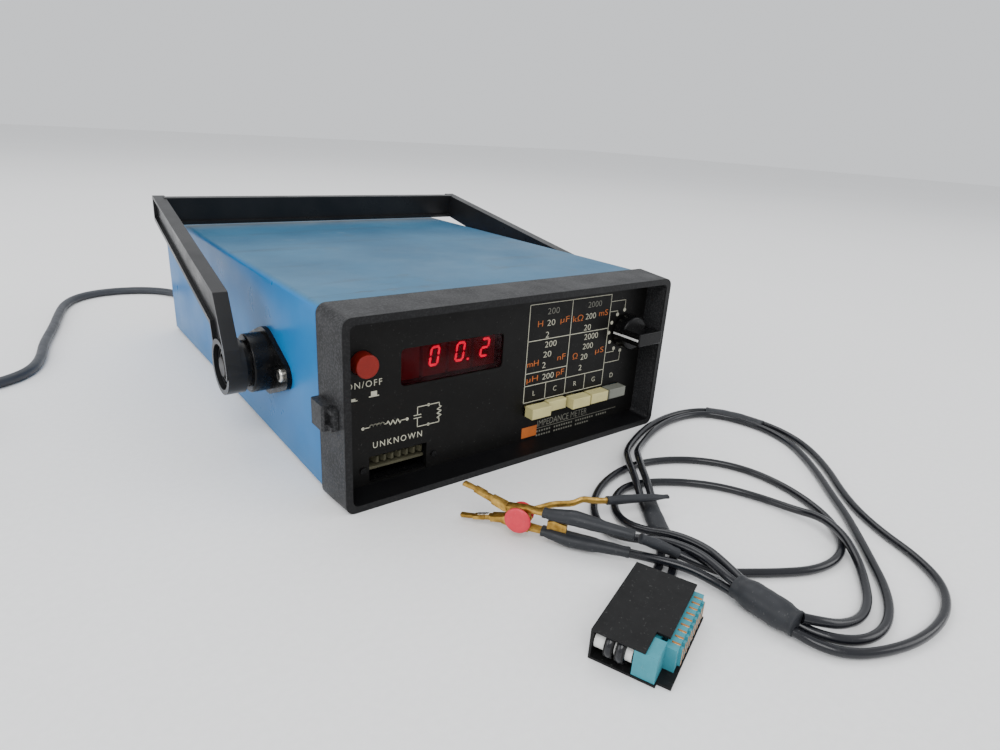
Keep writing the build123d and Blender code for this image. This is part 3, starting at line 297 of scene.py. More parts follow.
MATS = {
    "blue_paint": paint(),
    "bezel_plastic": bezel_skin(),
    "handle_plastic": handle_skin(),
    "black_plastic": plain("black_plastic", (0.0035, 0.0035, 0.0038), 0.28, dust=0.13, coat=0.04, shine=0.14),
    "panel_black": plain("panel_black", (0.0042, 0.0040, 0.0038), 0.45, dust=0.10, grain=1300, shine=0.16),
    "window_red": window_glass(),
    "led_module": plain("led_module", (0.02, 0.002, 0.003), 0.45),
    "cream_plastic": plain("cream_plastic", (0.520, 0.470, 0.215), 0.40, vary=0.08, dust=0.22,
                           dust_rgb=(0.22, 0.19, 0.11)),
    "grey_plastic": plain("grey_plastic", (0.155, 0.160, 0.135), 0.42, vary=0.10, dust=0.2),
    "red_plastic": plain("red_plastic", (0.200, 0.010, 0.005), 0.42, vary=0.16, dust=0.2,
                         dust_rgb=(0.4, 0.16, 0.12)),
    "board_green": plain("board_green", (0.03, 0.13, 0.05), 0.45, scale=40),
    "chip_black": plain("chip_black", (0.02, 0.02, 0.02), 0.55),
    "aluminium": plain("aluminium", (0.62, 0.62, 0.63), 0.36, 1.0, 0.06, stretch=(0.08, 1, 1)),
    "steel": plain("steel", (0.56, 0.54, 0.49), 0.28, 1.0, 0.12, dust=0.3, dust_rgb=(0.2, 0.17, 0.13)),
    "core_steel": plain("core_steel", (0.12, 0.12, 0.13), 0.5, 0.7, stretch=(0.05, 1, 1)),
    "coil_tape": plain("coil_tape", (0.5, 0.36, 0.10), 0.4),
    "rubber": plain("rubber", (0.018, 0.018, 0.018), 0.7, dust=0.3),
    "cord_vinyl": plain("cord_vinyl", (0.036, 0.040, 0.048), 0.42, vary=0.1, dust=0.2),
    "lead_vinyl": plain("lead_vinyl", (0.006, 0.0065, 0.009), 0.24, vary=0.2, scale=60, dust=0.12,
                        coat=0.25),
    "shrink_sleeve": plain("shrink_sleeve", (0.018, 0.0195, 0.023), 0.46, vary=0.16, scale=120,
                           dust=0.3, strength=0.5),
    "plug_cover": plain("plug_cover", (0.0055, 0.0055, 0.0058), 0.50, dust=0.2, grain=1600, shine=0.2),
    "teal_plastic": plain("teal_plastic", (0.040, 0.235, 0.290), 0.38, vary=0.12, dust=0.2),
    "brass": brass_skin(),
    "cap_red": plain("cap_red", (0.560, 0.028, 0.050), 0.38, vary=0.12, dust=0.35,
                     dust_rgb=(0.75, 0.35, 0.35)),
    "white_rod": plain("white_rod", (0.66, 0.66, 0.64), 0.4, vary=0.06, dust=0.3,
                       dust_rgb=(0.3, 0.3, 0.28)),
    "gold": plain("gold", (0.42, 0.20, 0.065), 0.32, 0.9, 0.2),
    "ink_cream": plain("ink_cream", (0.44, 0.43, 0.34), 0.6, vary=0.10, scale=300),
    "ink_dim": plain("ink_dim", (0.17, 0.168, 0.14), 0.6, vary=0.12, scale=300),
    "ink_orange": plain("ink_orange", (0.46, 0.120, 0.022), 0.6, vary=0.10, scale=300),
    # painted shade: the comb's plastic is made much darker because the comb sits in shadow
    "comb_plastic_in_shade": plain("comb_plastic_in_shade", (0.066, 0.062, 0.038), 0.5, vary=0.2, dust=0.2,
                          dust_rgb=(0.05, 0.045, 0.03)),
    "dark_screw": plain("dark_screw", (0.030, 0.027, 0.024), 0.42, 0.8, 0.3, dust=0.2),
    "led_lit": lamp("led_lit", (1.0, 0.020, 0.34), 4.2),
    "led_glow": lamp("led_glow", (0.8, 0.015, 0.060), 0.018),
}
NODE_MATS = {
    "handle_bar": "handle_plastic", "hub_brackets": "black_plastic",
    "side_catches": "bezel_plastic", "display_digits": "led_glow", "socket_comb": "comb_plastic_in_shade",
    "panel_screws": "black_plastic", "pivot_screws": "dark_screw",
}
SLOTS = {p["node"]: p["material_slot"] for p in frame["record"]["subparts"]}
for node, obj in frame["nodes"].items():
    finish = MATS[NODE_MATS.get(node, SLOTS[node])]
    if not obj.material_slots:
        obj.data.materials.append(finish)
    for material_slot in obj.material_slots:
        material_slot.material = finish


# ---- pieces ----
def piece(name, mesh, finish, body, slot, *nodes):
    """A new mesh piece that rides a body and may stand for CAD nodes."""
    if finish:
        mesh.materials.append(MATS[finish])
    obj = bpy.data.objects.new(name, mesh)
    bpy.context.scene.collection.objects.link(obj)
    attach(obj, body)
    if nodes:
        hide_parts(*nodes)
    return obj


def to_mesh(bm, name, smooth=None):
    bmesh.ops.recalc_face_normals(bm, faces=bm.faces)
    mesh = bpy.data.meshes.new(name)
    bm.to_mesh(mesh)
    bm.free()
    if smooth is not None:
        mesh.polygons.foreach_set("use_smooth", [True] * len(mesh.polygons))
        mesh.set_sharp_from_angle(angle=math.radians(smooth))
    return mesh


def cord_curve(name, points, diameter, finish):
    """One open NURBS spline whose control points are the route."""
    data = bpy.data.curves.new(name, "CURVE")
    data.dimensions = "3D"
    data.bevel_depth = diameter / 2
    data.bevel_resolution = 5
    data.resolution_u = 8
    data.use_fill_caps = True
    spline = data.splines.new("NURBS")
    spline.points.add(len(points) - 1)
    for target, point in zip(spline.points, points):
        target.co = (*point, 1)
    spline.order_u = 3
    spline.use_endpoint_u = True
    data.materials.append(MATS[finish])
    obj = bpy.data.objects.new(name, data)
    bpy.context.scene.collection.objects.link(obj)
    return obj


def metres(route):
    return [(x * MM, y * MM, z * MM) for x, y, z in route]


# ---- mains cord ----
MAINS = metres([
    (-74, 187.325, 24), (-74, 206, 23.4), (-74, 226, 18), (-75, 247, 9.5), (-79, 268, 3.6),
    (-88, 291, 3.5), (-106, 307, 3.5), (-129, 313, 3.5), (-152, 310, 3.5), (-170, 295, 3.5),
    (-180, 272, 3.5), (-186, 244, 3.5), (-193, 204, 3.5), (-203, 159, 3.5), (-207, 124, 3.5),
    (-215, 98, 3.5), (-232, 82, 3.5), (-256, 77, 3.5), (-286, 71, 3.5),
])
COIL = (-0.298, 0.022)


def put_away():
    """The put-away turns, lying beside and on each other, and the tail to the plug."""
    lanes = [(0.0450, 0.0035), (0.0375, 0.0035), (0.0300, 0.0035), (0.0340, 0.0105),
             (0.0412, 0.0105), (0.0487, 0.0105)]
    steps = 14
    points = []
    for index, (radius, height) in enumerate(lanes):
        after = lanes[min(index + 1, len(lanes) - 1)]
        for step in range(4 if index == len(lanes) - 1 else steps):
            t = step / steps
            outward = min(1.0, max(0.0, (t - 0.6) / 0.4))
            rise = min(1.0, max(0.0, (t - 0.2) / 0.35))
            r = radius + (after[0] - radius) * outward
            z = height + (after[1] - height) * rise
            angle = math.radians(98) + 2 * math.pi * t
            points.append((COIL[0] + r * math.cos(angle), COIL[1] + r * math.sin(angle), z))
    return points + metres([(-344, 9, 10.6), (-337.5, -8, 10.2), (-325, -22, 9.8), (-310, -30, 11),
                            (-298, -40, 12.5)])


mains = cord_curve("mains_cord", MAINS + put_away(), MAINS_D, "cord_vinyl")
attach(mains, "meter")
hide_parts("power_cord", "cord_coil")


# ---- clip leads ----
OUTER = [
    (-27.6, -286.5, 3.2), (-17, -282, 2.3), (-5, -275, 2.2), (5, -264, 2.2), (13, -252, 2.2),
    (21, -240, 3.2), (28, -230, 6.4), (37, -218, 7.0), (46, -206, 7.0), (56, -197, 4.4),
    (71, -188, 2.2), (92, -179, 2.2), (116, -173.5, 2.2), (139, -174, 2.4), (156, -182, 2.8),
    (166, -198, 2.8), (171, -216, 2.4), (170, -234, 2.2), (162, -252, 2.2), (146, -272, 2.2),
    (127, -290, 2.2), (114, -305, 2.2), (104, -322, 2.2), (97, -340, 2.2), (86, -355, 2.2),
    (71, -363, 2.2), (54, -366, 2.2), (37, -365, 2.2), (22, -361, 2.2), (9, -355, 2.4),
    (1, -347, 3.2), (-1.8, -336, 4.2),
    (-1.8, -309, 4.2), (-3, -301, 4.6), (-7, -291, 6.4), (-14, -280, 6.9), (-20.6, -266.6, 5.0),
]
INNER = [
    (-25.4, -292.0, 3.2), (-14, -288, 2.3), (-1, -279, 2.2), (9, -268, 2.2), (17, -256, 2.2),
    (25, -244, 3.2), (33, -233, 6.6), (42, -221, 7.2), (51, -210, 7.2), (60.5, -201, 4.6),
    (74, -193, 2.2), (93, -184.5, 2.2), (116, -178.5, 2.2), (136, -179, 2.4), (151, -185.5, 2.8),
    (160, -201, 2.8), (164, -219, 2.4), (160, -239, 2.2), (148, -257, 2.2), (133, -274, 2.2),
    (118, -289, 2.2), (105, -303, 2.2), (91, -316, 2.2), (75, -330, 2.2), (61, -342, 2.2),
    (46, -351, 2.2), (31, -355, 2.3), (18, -353, 2.6), (8, -346, 3.4), (2.6, -336, 4.2),
    (-1.8, -309, 8.6), (0.5, -300, 8.9), (2.5, -287, 8.9), (-2, -272, 7.8), (-10, -260, 4.2),
    (-13, -247, 2.3), (-7, -233, 2.2), (9, -219, 2.2), (32, -210, 2.2), (55, -209, 2.2),
    (77, -217, 2.2), (93, -230, 2.2), (103, -248, 2.2), (104, -270, 2.2), (98, -291, 2.2),
    (88, -307, 2.2), (75, -317, 2.2), (60, -321, 2.2), (45, -319, 2.2), (31, -312, 2.2),
    (18, -304, 2.2), (9, -298.5, 2.4), (3, -292, 4.0), (-3.6, -282.0, 7.0),
]
SECOND = [
    (2.6, -309, 8.6), (5.5, -300, 8.9), (8.5, -287, 8.9), (5.5, -272, 8.1), (0, -259, 4.6),
    (0, -244, 2.3), (10, -230, 2.2), (26, -223, 2.2), (43, -227, 2.2), (60, -238, 2.2),
    (73, -252, 2.2), (81, -270, 2.3), (84, -287, 3.2), (83, -301, 6.8), (77, -315, 7.0),
    (68, -327, 3.4), (56, -336, 2.2), (43, -343.5, 2.2), (30, -346.5, 2.6), (17, -345, 5.0),
    (8, -341, 7.6), (2.6, -336, 8.6),
]
for name, route, nodes in (("lead_front", OUTER, ("lead_outer", "lead_clip")),
                           ("lead_long", INNER, ("lead_inner", "lead_loop")),
                           ("lead_short", SECOND, ("lead_second",))):
    lead = cord_curve(name, metres(route), LEAD_D, "lead_vinyl")
    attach(lead, "test_leads")
    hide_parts(*nodes)


def tube(bm, stations, sides=20):
    """A closed skin through rings at the stations: each is a point and the ring's two half widths."""
    rings = []
    points = [Vector(p) for p, a, b in stations]
    for index, (p, wide, tall) in enumerate(stations):
        before = points[max(0, index - 1)]
        after = points[min(len(points) - 1, index + 1)]
        way = (after - before).normalized()
        side = way.cross(Vector((0, 0, 1))).normalized()
        rise = side.cross(way).normalized()
        ring = []
        for k in range(sides):
            angle = 2 * math.pi * k / sides
            ring.append(bm.verts.new(points[index] + side * (wide * math.cos(angle))
                                     + rise * (tall * math.sin(angle))))
        rings.append(ring)
    for a, b in zip(rings, rings[1:]):
        for k in range(sides):
            bm.faces.new((a[k], a[(k + 1) % sides], b[(k + 1) % sides], b[k]))
    bm.faces.new(rings[0])
    bm.faces.new(rings[-1])


def sleeve(bm, stations):
    """A shrunk sleeve in millimetres: a lip at each end and a few soft creases between."""
    full = []
    for index, (point, wide, tall) in enumerate(stations):
        p = Vector(point)
        if index == 0 or index == len(stations) - 1:
            other = Vector(stations[1 if index == 0 else -2][0])
            inward = (other - p).normalized()
            lip = [(p, wide * 0.86, tall * 0.86), (p + inward * 0.15, wide, tall),
                   (p + inward * 1.1, wide * 1.02, tall * 1.02), (p + inward * 1.9, wide * 0.96, tall * 0.96)]
            full += lip if index == 0 else lip[::-1]
        else:
            full.append((p, wide, tall))
    spread = []
    for (p, a, b), (q, c, d) in zip(full, full[1:]):
        spread.append((p, a, b))
        gap = (q - p).length
        for k in range(1, int(gap / 1.6)):
            t = k / int(gap / 1.6)
            soft = t * t * (3 - 2 * t)
            crease = 1 + 0.012 * math.sin(k * 2.1 + a)
            spread.append((p.lerp(q, t), (a + (c - a) * soft) * crease, (b + (d - b) * soft) * crease))
    spread.append(full[-1])
    tube(bm, [(p * MM, a * MM, b * MM) for p, a, b in spread])


PIVOT = Vector((-47.3, -225.8, 10.3))
WAY = Vector((0.55, -0.835, 0)).normalized()
ACROSS = Vector((-0.835, -0.55, 0)).normalized()
UPPER_JAW = [(-29, 9.3), (-28.9, 10.4), (-28.0, 11), (-22.5, 9.4), (-21, 8.6), (-13, 6.4), (-7, 4.6),
             (-5, 1.2), (-8, 1.6), (-14, 4), (-20, 6.6), (-22, 7.8)]
UPPER_HANDLE = [(-7, 1.4), (-7, 4.6), (3, 5.6), (12, 5.2), (25, 6.6), (36, 5.6), (36, 4.4), (25, 5.2),
                (12, 3.9), (4, 3.8), (-4, 1.4)]
UPPER_CHEEK = [(-5.5, 0.8), (-5.5, 4.4), (-1, 5.2), (3, 5.4), (5, 2), (2.6, -2.1), (-2.6, -2.1)]
LOWER_JAW = [(-29.5, -6.3), (-29.4, -7.4), (-28.4, -8), (-22, -6.8), (-20, -6.4), (-13, -5.2), (-7, -4.2),
             (-5, -1.4), (-8, -1.3), (-14, -3.0), (-20, -4.5), (-22, -5.3)]
LOWER_HANDLE = [(-7, -3.3), (-7, -4.4), (3, -5.6), (12, -5.4), (25, -7), (36, -6.2), (36, -5.0), (25, -5.6),
                (12, -4.0), (4, -3.7)]
LOWER_CHEEK = [(-8, -0.8), (-8, -4.2), (3, -5.8), (5, -2), (2.6, 2.1), (-2.6, 2.1)]


def clip_at(along, across, up):
    """A point in the clip's own frame, in millimetres: along its handles, across to its cap, up."""
    return PIVOT + WAY * along + ACROSS * across + Vector((0, 0, up))


def strip(bm, outline, low, high):
    """An outline in the clip's side view, made solid between two distances across."""
    ends = [[bm.verts.new(clip_at(a, c, b) * MM) for a, b in outline] for c in (low, high)]
    count = len(outline)
    bm.faces.new(ends[0])
    bm.faces.new(ends[1][::-1])
    for k in range(count):
        bm.faces.new((ends[0][k], ends[0][(k + 1) % count], ends[1][(k + 1) % count], ends[1][k]))


def turned(bm, profile, sides=36):
    """A turned shape about the clip's pivot: the profile is pairs of across and radius."""
    rings = []
    for across, radius in profile:
        angles = [2 * math.pi * k / sides for k in range(sides)]
        rings.append([bm.verts.new(clip_at(radius * math.cos(a), across, radius * math.sin(a)) * MM)
                      for a in angles])
    for a, b in zip(rings, rings[1:]):
        for k in range(sides):
            bm.faces.new((a[k], a[(k + 1) % sides], b[(k + 1) % sides], b[k]))
    bm.faces.new(rings[0])
    bm.faces.new(rings[-1])


def softened(bm, name, width=0.00025, segments=2):
    """The mesh with its edges rounded and its normals smoothed between them."""
    bmesh.ops.recalc_face_normals(bm, faces=bm.faces)
    edges = [e for e in bm.edges if len(e.link_faces) == 2 and e.calc_face_angle(0) > 0.5]
    bmesh.ops.bevel(bm, geom=edges, offset=width, segments=segments, profile=0.6,
                    affect="EDGES", clamp_overlap=True)
    return to_mesh(bm, name, 40)


upper = bmesh.new()
strip(upper, UPPER_JAW[:4] + UPPER_JAW[-1:], -1.3, 1.3)
strip(upper, [(-23, 7.7), (-22.6, 9.6), (-17, 7.8), (-17, 5.4)], -1.9, 1.9)
strip(upper, UPPER_JAW[3:], -1.5, 1.5)
strip(upper, [(-14, 3.8), (-14, 6.9), (-7, 4.9), (-5, 1.4), (-8, 1.5)], -2.2, 2.2)
strip(upper, UPPER_HANDLE, -2.2, 2.2)
for low, high in ((-2.0, -1.0), (1.0, 2.0)):
    strip(upper, UPPER_CHEEK, low, high)
piece("clip_upper_brass", softened(upper, "clip_upper_brass"), "brass", "clip_jaw", "brass", "clip_upper_arm")
skin = bmesh.new()
sleeve(skin, [(clip_at(10.5, 0, 4.6), 3.2, 2.1), (clip_at(15, 0, 4.6), 3.6, 2.6),
              (clip_at(25, 0, 5.5), 4.1, 3.3), (clip_at(33, 0, 5.0), 3.7, 3.1),
              (clip_at(40, 0, 4.6), 2.9, 2.6), (clip_at(52, 0, 4.1), 2.5, 2.4)])
piece("clip_upper_sleeve", to_mesh(skin, "clip_upper_sleeve", 50), "shrink_sleeve", "clip_jaw",
      "shrink_sleeve")

lower = bmesh.new()
strip(lower, LOWER_JAW[:4] + LOWER_JAW[-1:], -1.3, 1.3)
strip(lower, [(-22.6, -5.3), (-22.8, -7.0), (-17, -5.9), (-17, -3.7)], -1.9, 1.9)
strip(lower, LOWER_JAW[3:], -1.5, 1.5)
strip(lower, [(-14, -2.9), (-14, -5.6), (-7, -4.5), (-5.6, -3.3), (-8, -1.4)], -2.4, 2.4)
strip(lower, LOWER_HANDLE, -2.3, 2.3)
for low, high in ((-3.6, -2.6), (2.6, 3.6)):
    strip(lower, LOWER_CHEEK, low, high)
strip(lower, [(-8, -3.4), (-8, -4.2), (-6, -4.5), (-6, -3.4)], -3.5, 3.5)
strip(lower, [(2, -4.4), (2, -5.6), (5, -5.6), (5, -4.4)], -3.5, 3.5)
strip(lower, [(13, -4.2), (13, 1.0), (16, 2.0), (22, 1.0), (22, -5.4)], -1.2, 1.2)
piece("clip_lower_brass", softened(lower, "clip_lower_brass"), "brass", "test_leads", "brass",
      "clip_lower_arm")
bit = bmesh.new()
strip(bit, [(-21, 6.6), (-20.6, 7.2), (-15.2, 5.0), (-15.6, 4.3)], -0.9, 0.9)
piece("clip_upper_steel", softened(bit, "clip_upper_steel", 0.0001, 1), "steel", "clip_jaw", "brass")
bits = bmesh.new()
strip(bits, [(-21, -4.2), (-20.6, -4.9), (-15.2, -3.5), (-15.6, -2.8)], -0.9, 0.9)
turned(bits, [(-6.4, 0.4), (-6.35, 1.8), (-6.1, 2.2), (-5.75, 2.2), (-5.75, 1.2), (4.0, 1.2)])
piece("clip_steel_bits", softened(bits, "clip_steel_bits", 0.0001, 1), "steel", "test_leads", "brass")
cap = bmesh.new()
turned(cap, [(3.95, 5.2), (3.95, 5.9), (4.3, 6.25), (4.9, 6.2), (5.4, 5.7), (5.6, 4.9), (5.62, 3.4),
             (5.45, 2.8), (5.55, 2.2), (5.6, 0.4)])
turned(cap, [(-3.6, 5.0), (-3.75, 5.4), (-3.9, 5.3), (-3.9, 1.3)])
piece("clip_red_cap", to_mesh(cap, "clip_red_cap", 35), "cap_red", "test_leads", "cap_red", "clip_cap")
BAR = [(-41.7, -226.0, 11.4), (-31, -229, 12.8), (-22, -233, 12.4), (-17, -235, 14.3), (-12, -236.2, 12.6),
       (-6, -237.3, 11), (1, -239, 10.2)]
third = bmesh.new()
turned(third, [(-5.5, 1.5), (-5.5, 4.0), (-5.3, 4.2), (-4.1, 4.2), (-3.95, 4.0), (-3.95, 1.5)])
fine = []
for a, b in zip(BAR, BAR[1:]):
    a, b = Vector(a), Vector(b)
    fine += [a.lerp(b, 0.15), a.lerp(b, 0.5), a.lerp(b, 0.85)]
fine = [Vector(BAR[0])] + fine + [Vector(BAR[-1])]
tube(third, [(p * MM, 0.0013, 0.0016) for p in fine], 16)
piece("clip_third_brass", to_mesh(third, "clip_third_brass", 50), "brass", "test_leads", "brass",
      "clip_third_arm")
lower_skins = bmesh.new()
sleeve(lower_skins, [((-3.5, -237.8, 10.7), 2.2, 2.1), ((3, -240, 10.2), 2.4, 2.3),
                     ((12, -243.1, 9.7), 2.3, 2.1), ((21, -246.4, 9.2), 2.1, 1.7),
                     ((29, -249.4, 8.8), 1.6, 0.9)])
sleeve(lower_skins, [(clip_at(10.5, 0, -4.9), 3.3, 2.2), (clip_at(15, 0, -5.0), 3.8, 2.7),
                     (clip_at(24, 0, -5.9), 4.3, 3.3), (clip_at(32, 0, -5.7), 4.0, 3.2),
                     (clip_at(40, 0, -5.4), 3.1, 2.7), (clip_at(51, 0, -5.0), 2.7, 2.4)])
sleeve(lower_skins, [((0.4, -309, 6.4), 5.6, 5.0), ((0.4, -316, 6.3), 6.3, 6.0), ((0.4, -329, 6.3), 6.3, 5.9),
                     ((0.4, -336, 6.4), 5.6, 5.2)])
sleeve(lower_skins, [((152.0, -181.8, 2.8), 4.7, 2.7), ((158.3, -190.8, 2.9), 4.9, 2.75),
                     ((163.2, -200.4, 2.9), 4.9, 2.75), ((167.3, -215.6, 2.7), 4.7, 2.6)])
sleeve(lower_skins, [((8.9, -262.4, 2.5), 4.9, 2.5), ((15.8, -252.6, 2.8), 4.8, 2.7),
                     ((22.6, -242.8, 3.2), 4.5, 2.6)])
sleeve(lower_skins, [((-17.6, -271.4, 13.9), 2.4, 2.3), ((-11, -276, 11.0), 2.6, 2.5),
                     ((-3.6, -282, 7.0), 2.4, 2.3)])
piece("lead_sleeve_skins", to_mesh(lower_skins, "lead_sleeve_skins", 50), "shrink_sleeve", "test_leads",
      "shrink_sleeve", "lead_sleeves")


# ---- lead plug ----
PLUG = (Vector((-74.0, -299.0, 0)), Vector((0.926, 0.379, 0)), Vector((0.379, -0.926, 0)))


def plug_box(bm, a0, a1, c0, c1, z0, z1):
    """A box in the lead plug's own frame: along it, across it and up."""
    corner, along, across = PLUG
    verts = [bm.verts.new((corner + along * a + across * c + Vector((0, 0, z))) * MM)
             for a in (a0, a1) for c in (c0, c1) for z in (z0, z1)]
    for face in ((0, 1, 3, 2), (4, 6, 7, 5), (0, 4, 5, 1), (2, 3, 7, 6), (0, 2, 6, 4), (1, 5, 7, 3)):
        bm.faces.new([verts[k] for k in face])


contacts = bmesh.new()
for index in range(9):
    start = 12.5 + index * 3.6
    plug_box(contacts, start + 0.15, start + 1.45, 29.4, 29.75, 2.4, 9.4)
    plug_box(contacts, start + 0.3, start + 1.3, 25.4, 28.6, 10.55, 10.75)
piece("lead_contacts", softened(contacts, "lead_contacts", 0.0001, 1), "gold", "test_leads", "teal_plastic")
rod = bmesh.new()
corner, along, across = PLUG
ends = [corner + along * 4.2 + across * c + Vector((0, 0, 6.9)) for c in (0.95, 1.3, 15.3, 15.8)]
tube(rod, [(p * MM, r * MM, r * MM) for p, r in zip(ends, (3.0, 3.36, 3.36, 3.0))], 28)
piece("lead_plug_rod", to_mesh(rod, "lead_plug_rod", 35), "white_rod", "test_leads", "plug_cover")
loops = bmesh.new()
for c in (7.0, 11.2):
    middle = corner + along * 4.2 + across * c + Vector((0, 0, 6.9))
    rings = []
    for k in range(32):
        angle = 2 * math.pi * k / 32
        out = along * math.cos(angle) + Vector((0, 0, math.sin(angle)))
        ring = []
        for j in range(14):
            b = 2 * math.pi * j / 14
            point = middle + out * (3.6 + 1.75 * math.cos(b)) + across * (1.85 * math.sin(b))
            ring.append(loops.verts.new(point * MM))
        rings.append(ring)
    for a, b in zip(rings, rings[1:] + rings[:1]):
        for j in range(14):
            loops.faces.new((a[j], a[(j + 1) % 14], b[(j + 1) % 14], b[j]))
piece("lead_plug_loops", to_mesh(loops, "lead_plug_loops", 60), "lead_vinyl", "test_leads", "plug_cover")


# ---- mains plug ----
low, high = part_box("cord_plug")
body = bmesh.new()
bmesh.ops.create_cube(body, size=1)
size = high - low
for vert in body.verts:
    taper = 0.86 if vert.co.y > 0 else 1.0
    vert.co = (low + high) / 2 + Vector((vert.co.x * size.x * taper, vert.co.y * size.y,
                                         vert.co.z * size.z * taper))
for k in range(4):
    y = low.y + size.y * (0.42 + 0.13 * k)
    rib = bmesh.ops.create_cube(body, size=1)["verts"]
    for vert in rib:
        vert.co = Vector(((low.x + high.x) / 2, y, (low.z + high.z) / 2)) + Vector(
            (vert.co.x * size.x * (1.02 - 0.02 * k), vert.co.y * 0.0022, vert.co.z * size.z * 0.62))
piece("mains_plug_body", softened(body, "mains_plug_body", 0.0022, 4), "black_plastic", "meter",
      "black_plastic", "cord_plug")
pins = bmesh.new()
for x, z, wide, tall in ((-6.3, 2.5, 1.5, 6.3), (6.3, 2.5, 1.5, 6.3), (0.0, -5.0, 4.8, 4.8)):
    blade = bmesh.ops.create_cube(pins, size=1)["verts"]
    for vert in blade:
        vert.co = Vector(((low.x + high.x) / 2 + (x + vert.co.x * wide) * MM,
                          low.y - 0.0065 + vert.co.y * 0.0165,
                          (low.z + high.z) / 2 + (z + vert.co.z * tall) * MM))
piece("mains_plug_pins", softened(pins, "mains_plug_pins", 0.0005, 3), "brass", "meter", "black_plastic")


# ---- front panel print ----
FACE = -0.156325 - 0.00003


def flat_box(bm, corners, y=FACE, thick=0.00005):
    """A thin closed plate from corners given in panel millimetres, x and z."""
    front = [bm.verts.new((x * MM, y - thick, z * MM)) for x, z in corners]
    rear = [bm.verts.new((x * MM, y, z * MM)) for x, z in corners]
    bm.faces.new(front)
    bm.faces.new(rear[::-1])
    count = len(corners)
    for k in range(count):
        bm.faces.new((front[k], front[(k + 1) % count], rear[(k + 1) % count], rear[k]))


def line(bm, points, width=0.45):
    """A printed line through points, each run a plate that laps the next a little."""
    for (x0, z0), (x1, z1) in zip(points, points[1:]):
        long = math.hypot(x1 - x0, z1 - z0)
        ux, uz = (x1 - x0) / long, (z1 - z0) / long
        h = width / 2
        a = (x0 - ux * h * 0.6, z0 - uz * h * 0.6)
        b = (x1 + ux * h * 0.6, z1 + uz * h * 0.6)
        flat_box(bm, [(a[0] - uz * h, a[1] + ux * h), (b[0] - uz * h, b[1] + ux * h),
                      (b[0] + uz * h, b[1] - ux * h), (a[0] + uz * h, a[1] - ux * h)])


def dot(bm, x, z, r):
    flat_box(bm, [(x + r * math.cos(k * math.pi / 9), z + r * math.sin(k * math.pi / 9)) for k in range(18)])


def text(bm, words, x, z, height, width=None, bold=-0.00005, spread=1.0):
    """Printed words, centred at x and z, as tall as height and, if given, as wide as width."""
    data = bpy.data.curves.new("words", "FONT")
    data.body = words
    data.align_x = "CENTER"
    data.align_y = "CENTER"
    data.size = height * MM / 0.69
    data.extrude = 0.00003
    data.offset = bold
    data.space_character = spread
    data.resolution_u = 3
    obj = bpy.data.objects.new("words", data)
    bpy.context.scene.collection.objects.link(obj)
    bpy.context.view_layer.update()
    mesh = bpy.data.meshes.new_from_object(obj.evaluated_get(bpy.context.evaluated_depsgraph_get()))
    xs = [v.co.x for v in mesh.vertices]
    ys = [v.co.y for v in mesh.vertices]
    stretch = width * MM / (max(xs) - min(xs)) if width else 1.0
    mid_x, mid_y = (max(xs) + min(xs)) / 2, (max(ys) + min(ys)) / 2
    for v in mesh.vertices:
        v.co = Vector((x * MM + (v.co.x - mid_x) * stretch, FACE - 0.00003 - v.co.z, z * MM + v.co.y - mid_y))
    bm.from_mesh(mesh)
    bpy.data.meshes.remove(mesh)
    bpy.data.objects.remove(obj)
    bpy.data.curves.remove(data)


def coil_sign(bm, x0, x1, z, bumps):
    """An inductor: a row of half rounds."""
    pitch = (x1 - x0) / bumps
    points = []
    for k in range(bumps):
        for j in range(9):
            angle = math.pi * (1 - j / 8)
            x = x0 + pitch * (k + 0.5) + pitch * 0.5 * math.cos(angle)
            points.append((x, z + 1.15 * math.sin(angle)))
    line(bm, [p for k, p in enumerate(points) if k % 9 != 0 or k == 0], 0.5)


def zigzag(bm, a, b, teeth, high, width=0.4):
    """A resistor between two points."""
    (x0, z0), (x1, z1) = a, b
    long = math.hypot(x1 - x0, z1 - z0)
    ux, uz = (x1 - x0) / long, (z1 - z0) / long
    points = [a]
    for k in range(teeth * 2):
        t = (k + 0.5) / (teeth * 2) * long
        s = high if k % 2 == 0 else -high
        points.append((x0 + ux * t - uz * s, z0 + uz * t + ux * s))
    line(bm, points + [b], width)


cream = bmesh.new()
text(cream, "ON/OFF", -91.1, 59.2, 3.2, 18.7, 0.0, 1.25)
text(cream, "UNKNOWN", -72.9, 26.0, 3.3, 27.9, 0.0, 1.3)
for x, z, tall in ((-97.4, 52.7, 0.2), (-86.1, 53.3, 1.6)):
    flat_box(cream, [(x - 2.7, z - 1.3), (x + 2.7, z - 1.3), (x + 2.7, z - 0.75), (x - 2.7, z - 0.75)])
    flat_box(cream, [(x - 1.6, z - 0.76), (x + 1.6, z - 0.76), (x + 1.6, z + tall), (x - 1.6, z + tall)])
line(cream, [(-91.6, 36.2), (-88.6, 36.2)])
coil_sign(cream, -88.6, -80.6, 36.2, 4)
line(cream, [(-80.6, 36.2), (-79.2, 36.2)])
zigzag(cream, (-79.2, 36.2), (-71.2, 36.2), 3, 1.35, 0.5)
line(cream, [(-71.2, 36.2), (-68.4, 36.2)])
line(cream, [(-55.3, 41.4), (-61.8, 41.4), (-61.8, 37.0)])
line(cream, [(-61.8, 35.4), (-61.8, 30.4), (-48.8, 30.4), (-48.8, 32.4)])
line(cream, [(-63.9, 37.0), (-59.7, 37.0)], 0.45)
line(cream, [(-63.9, 35.4), (-59.7, 35.4)], 0.45)
zigzag(cream, (-48.8, 32.4), (-48.8, 39.6), 3, 1.35, 0.5)
line(cream, [(-48.8, 39.6), (-48.8, 41.4), (-55.3, 41.4)])
for x, z in ((-92.1, 36.2), (-67.8, 36.1), (-55.3, 41.4), (-55.3, 30.4)):
    dot(cream, x, z, 0.85)
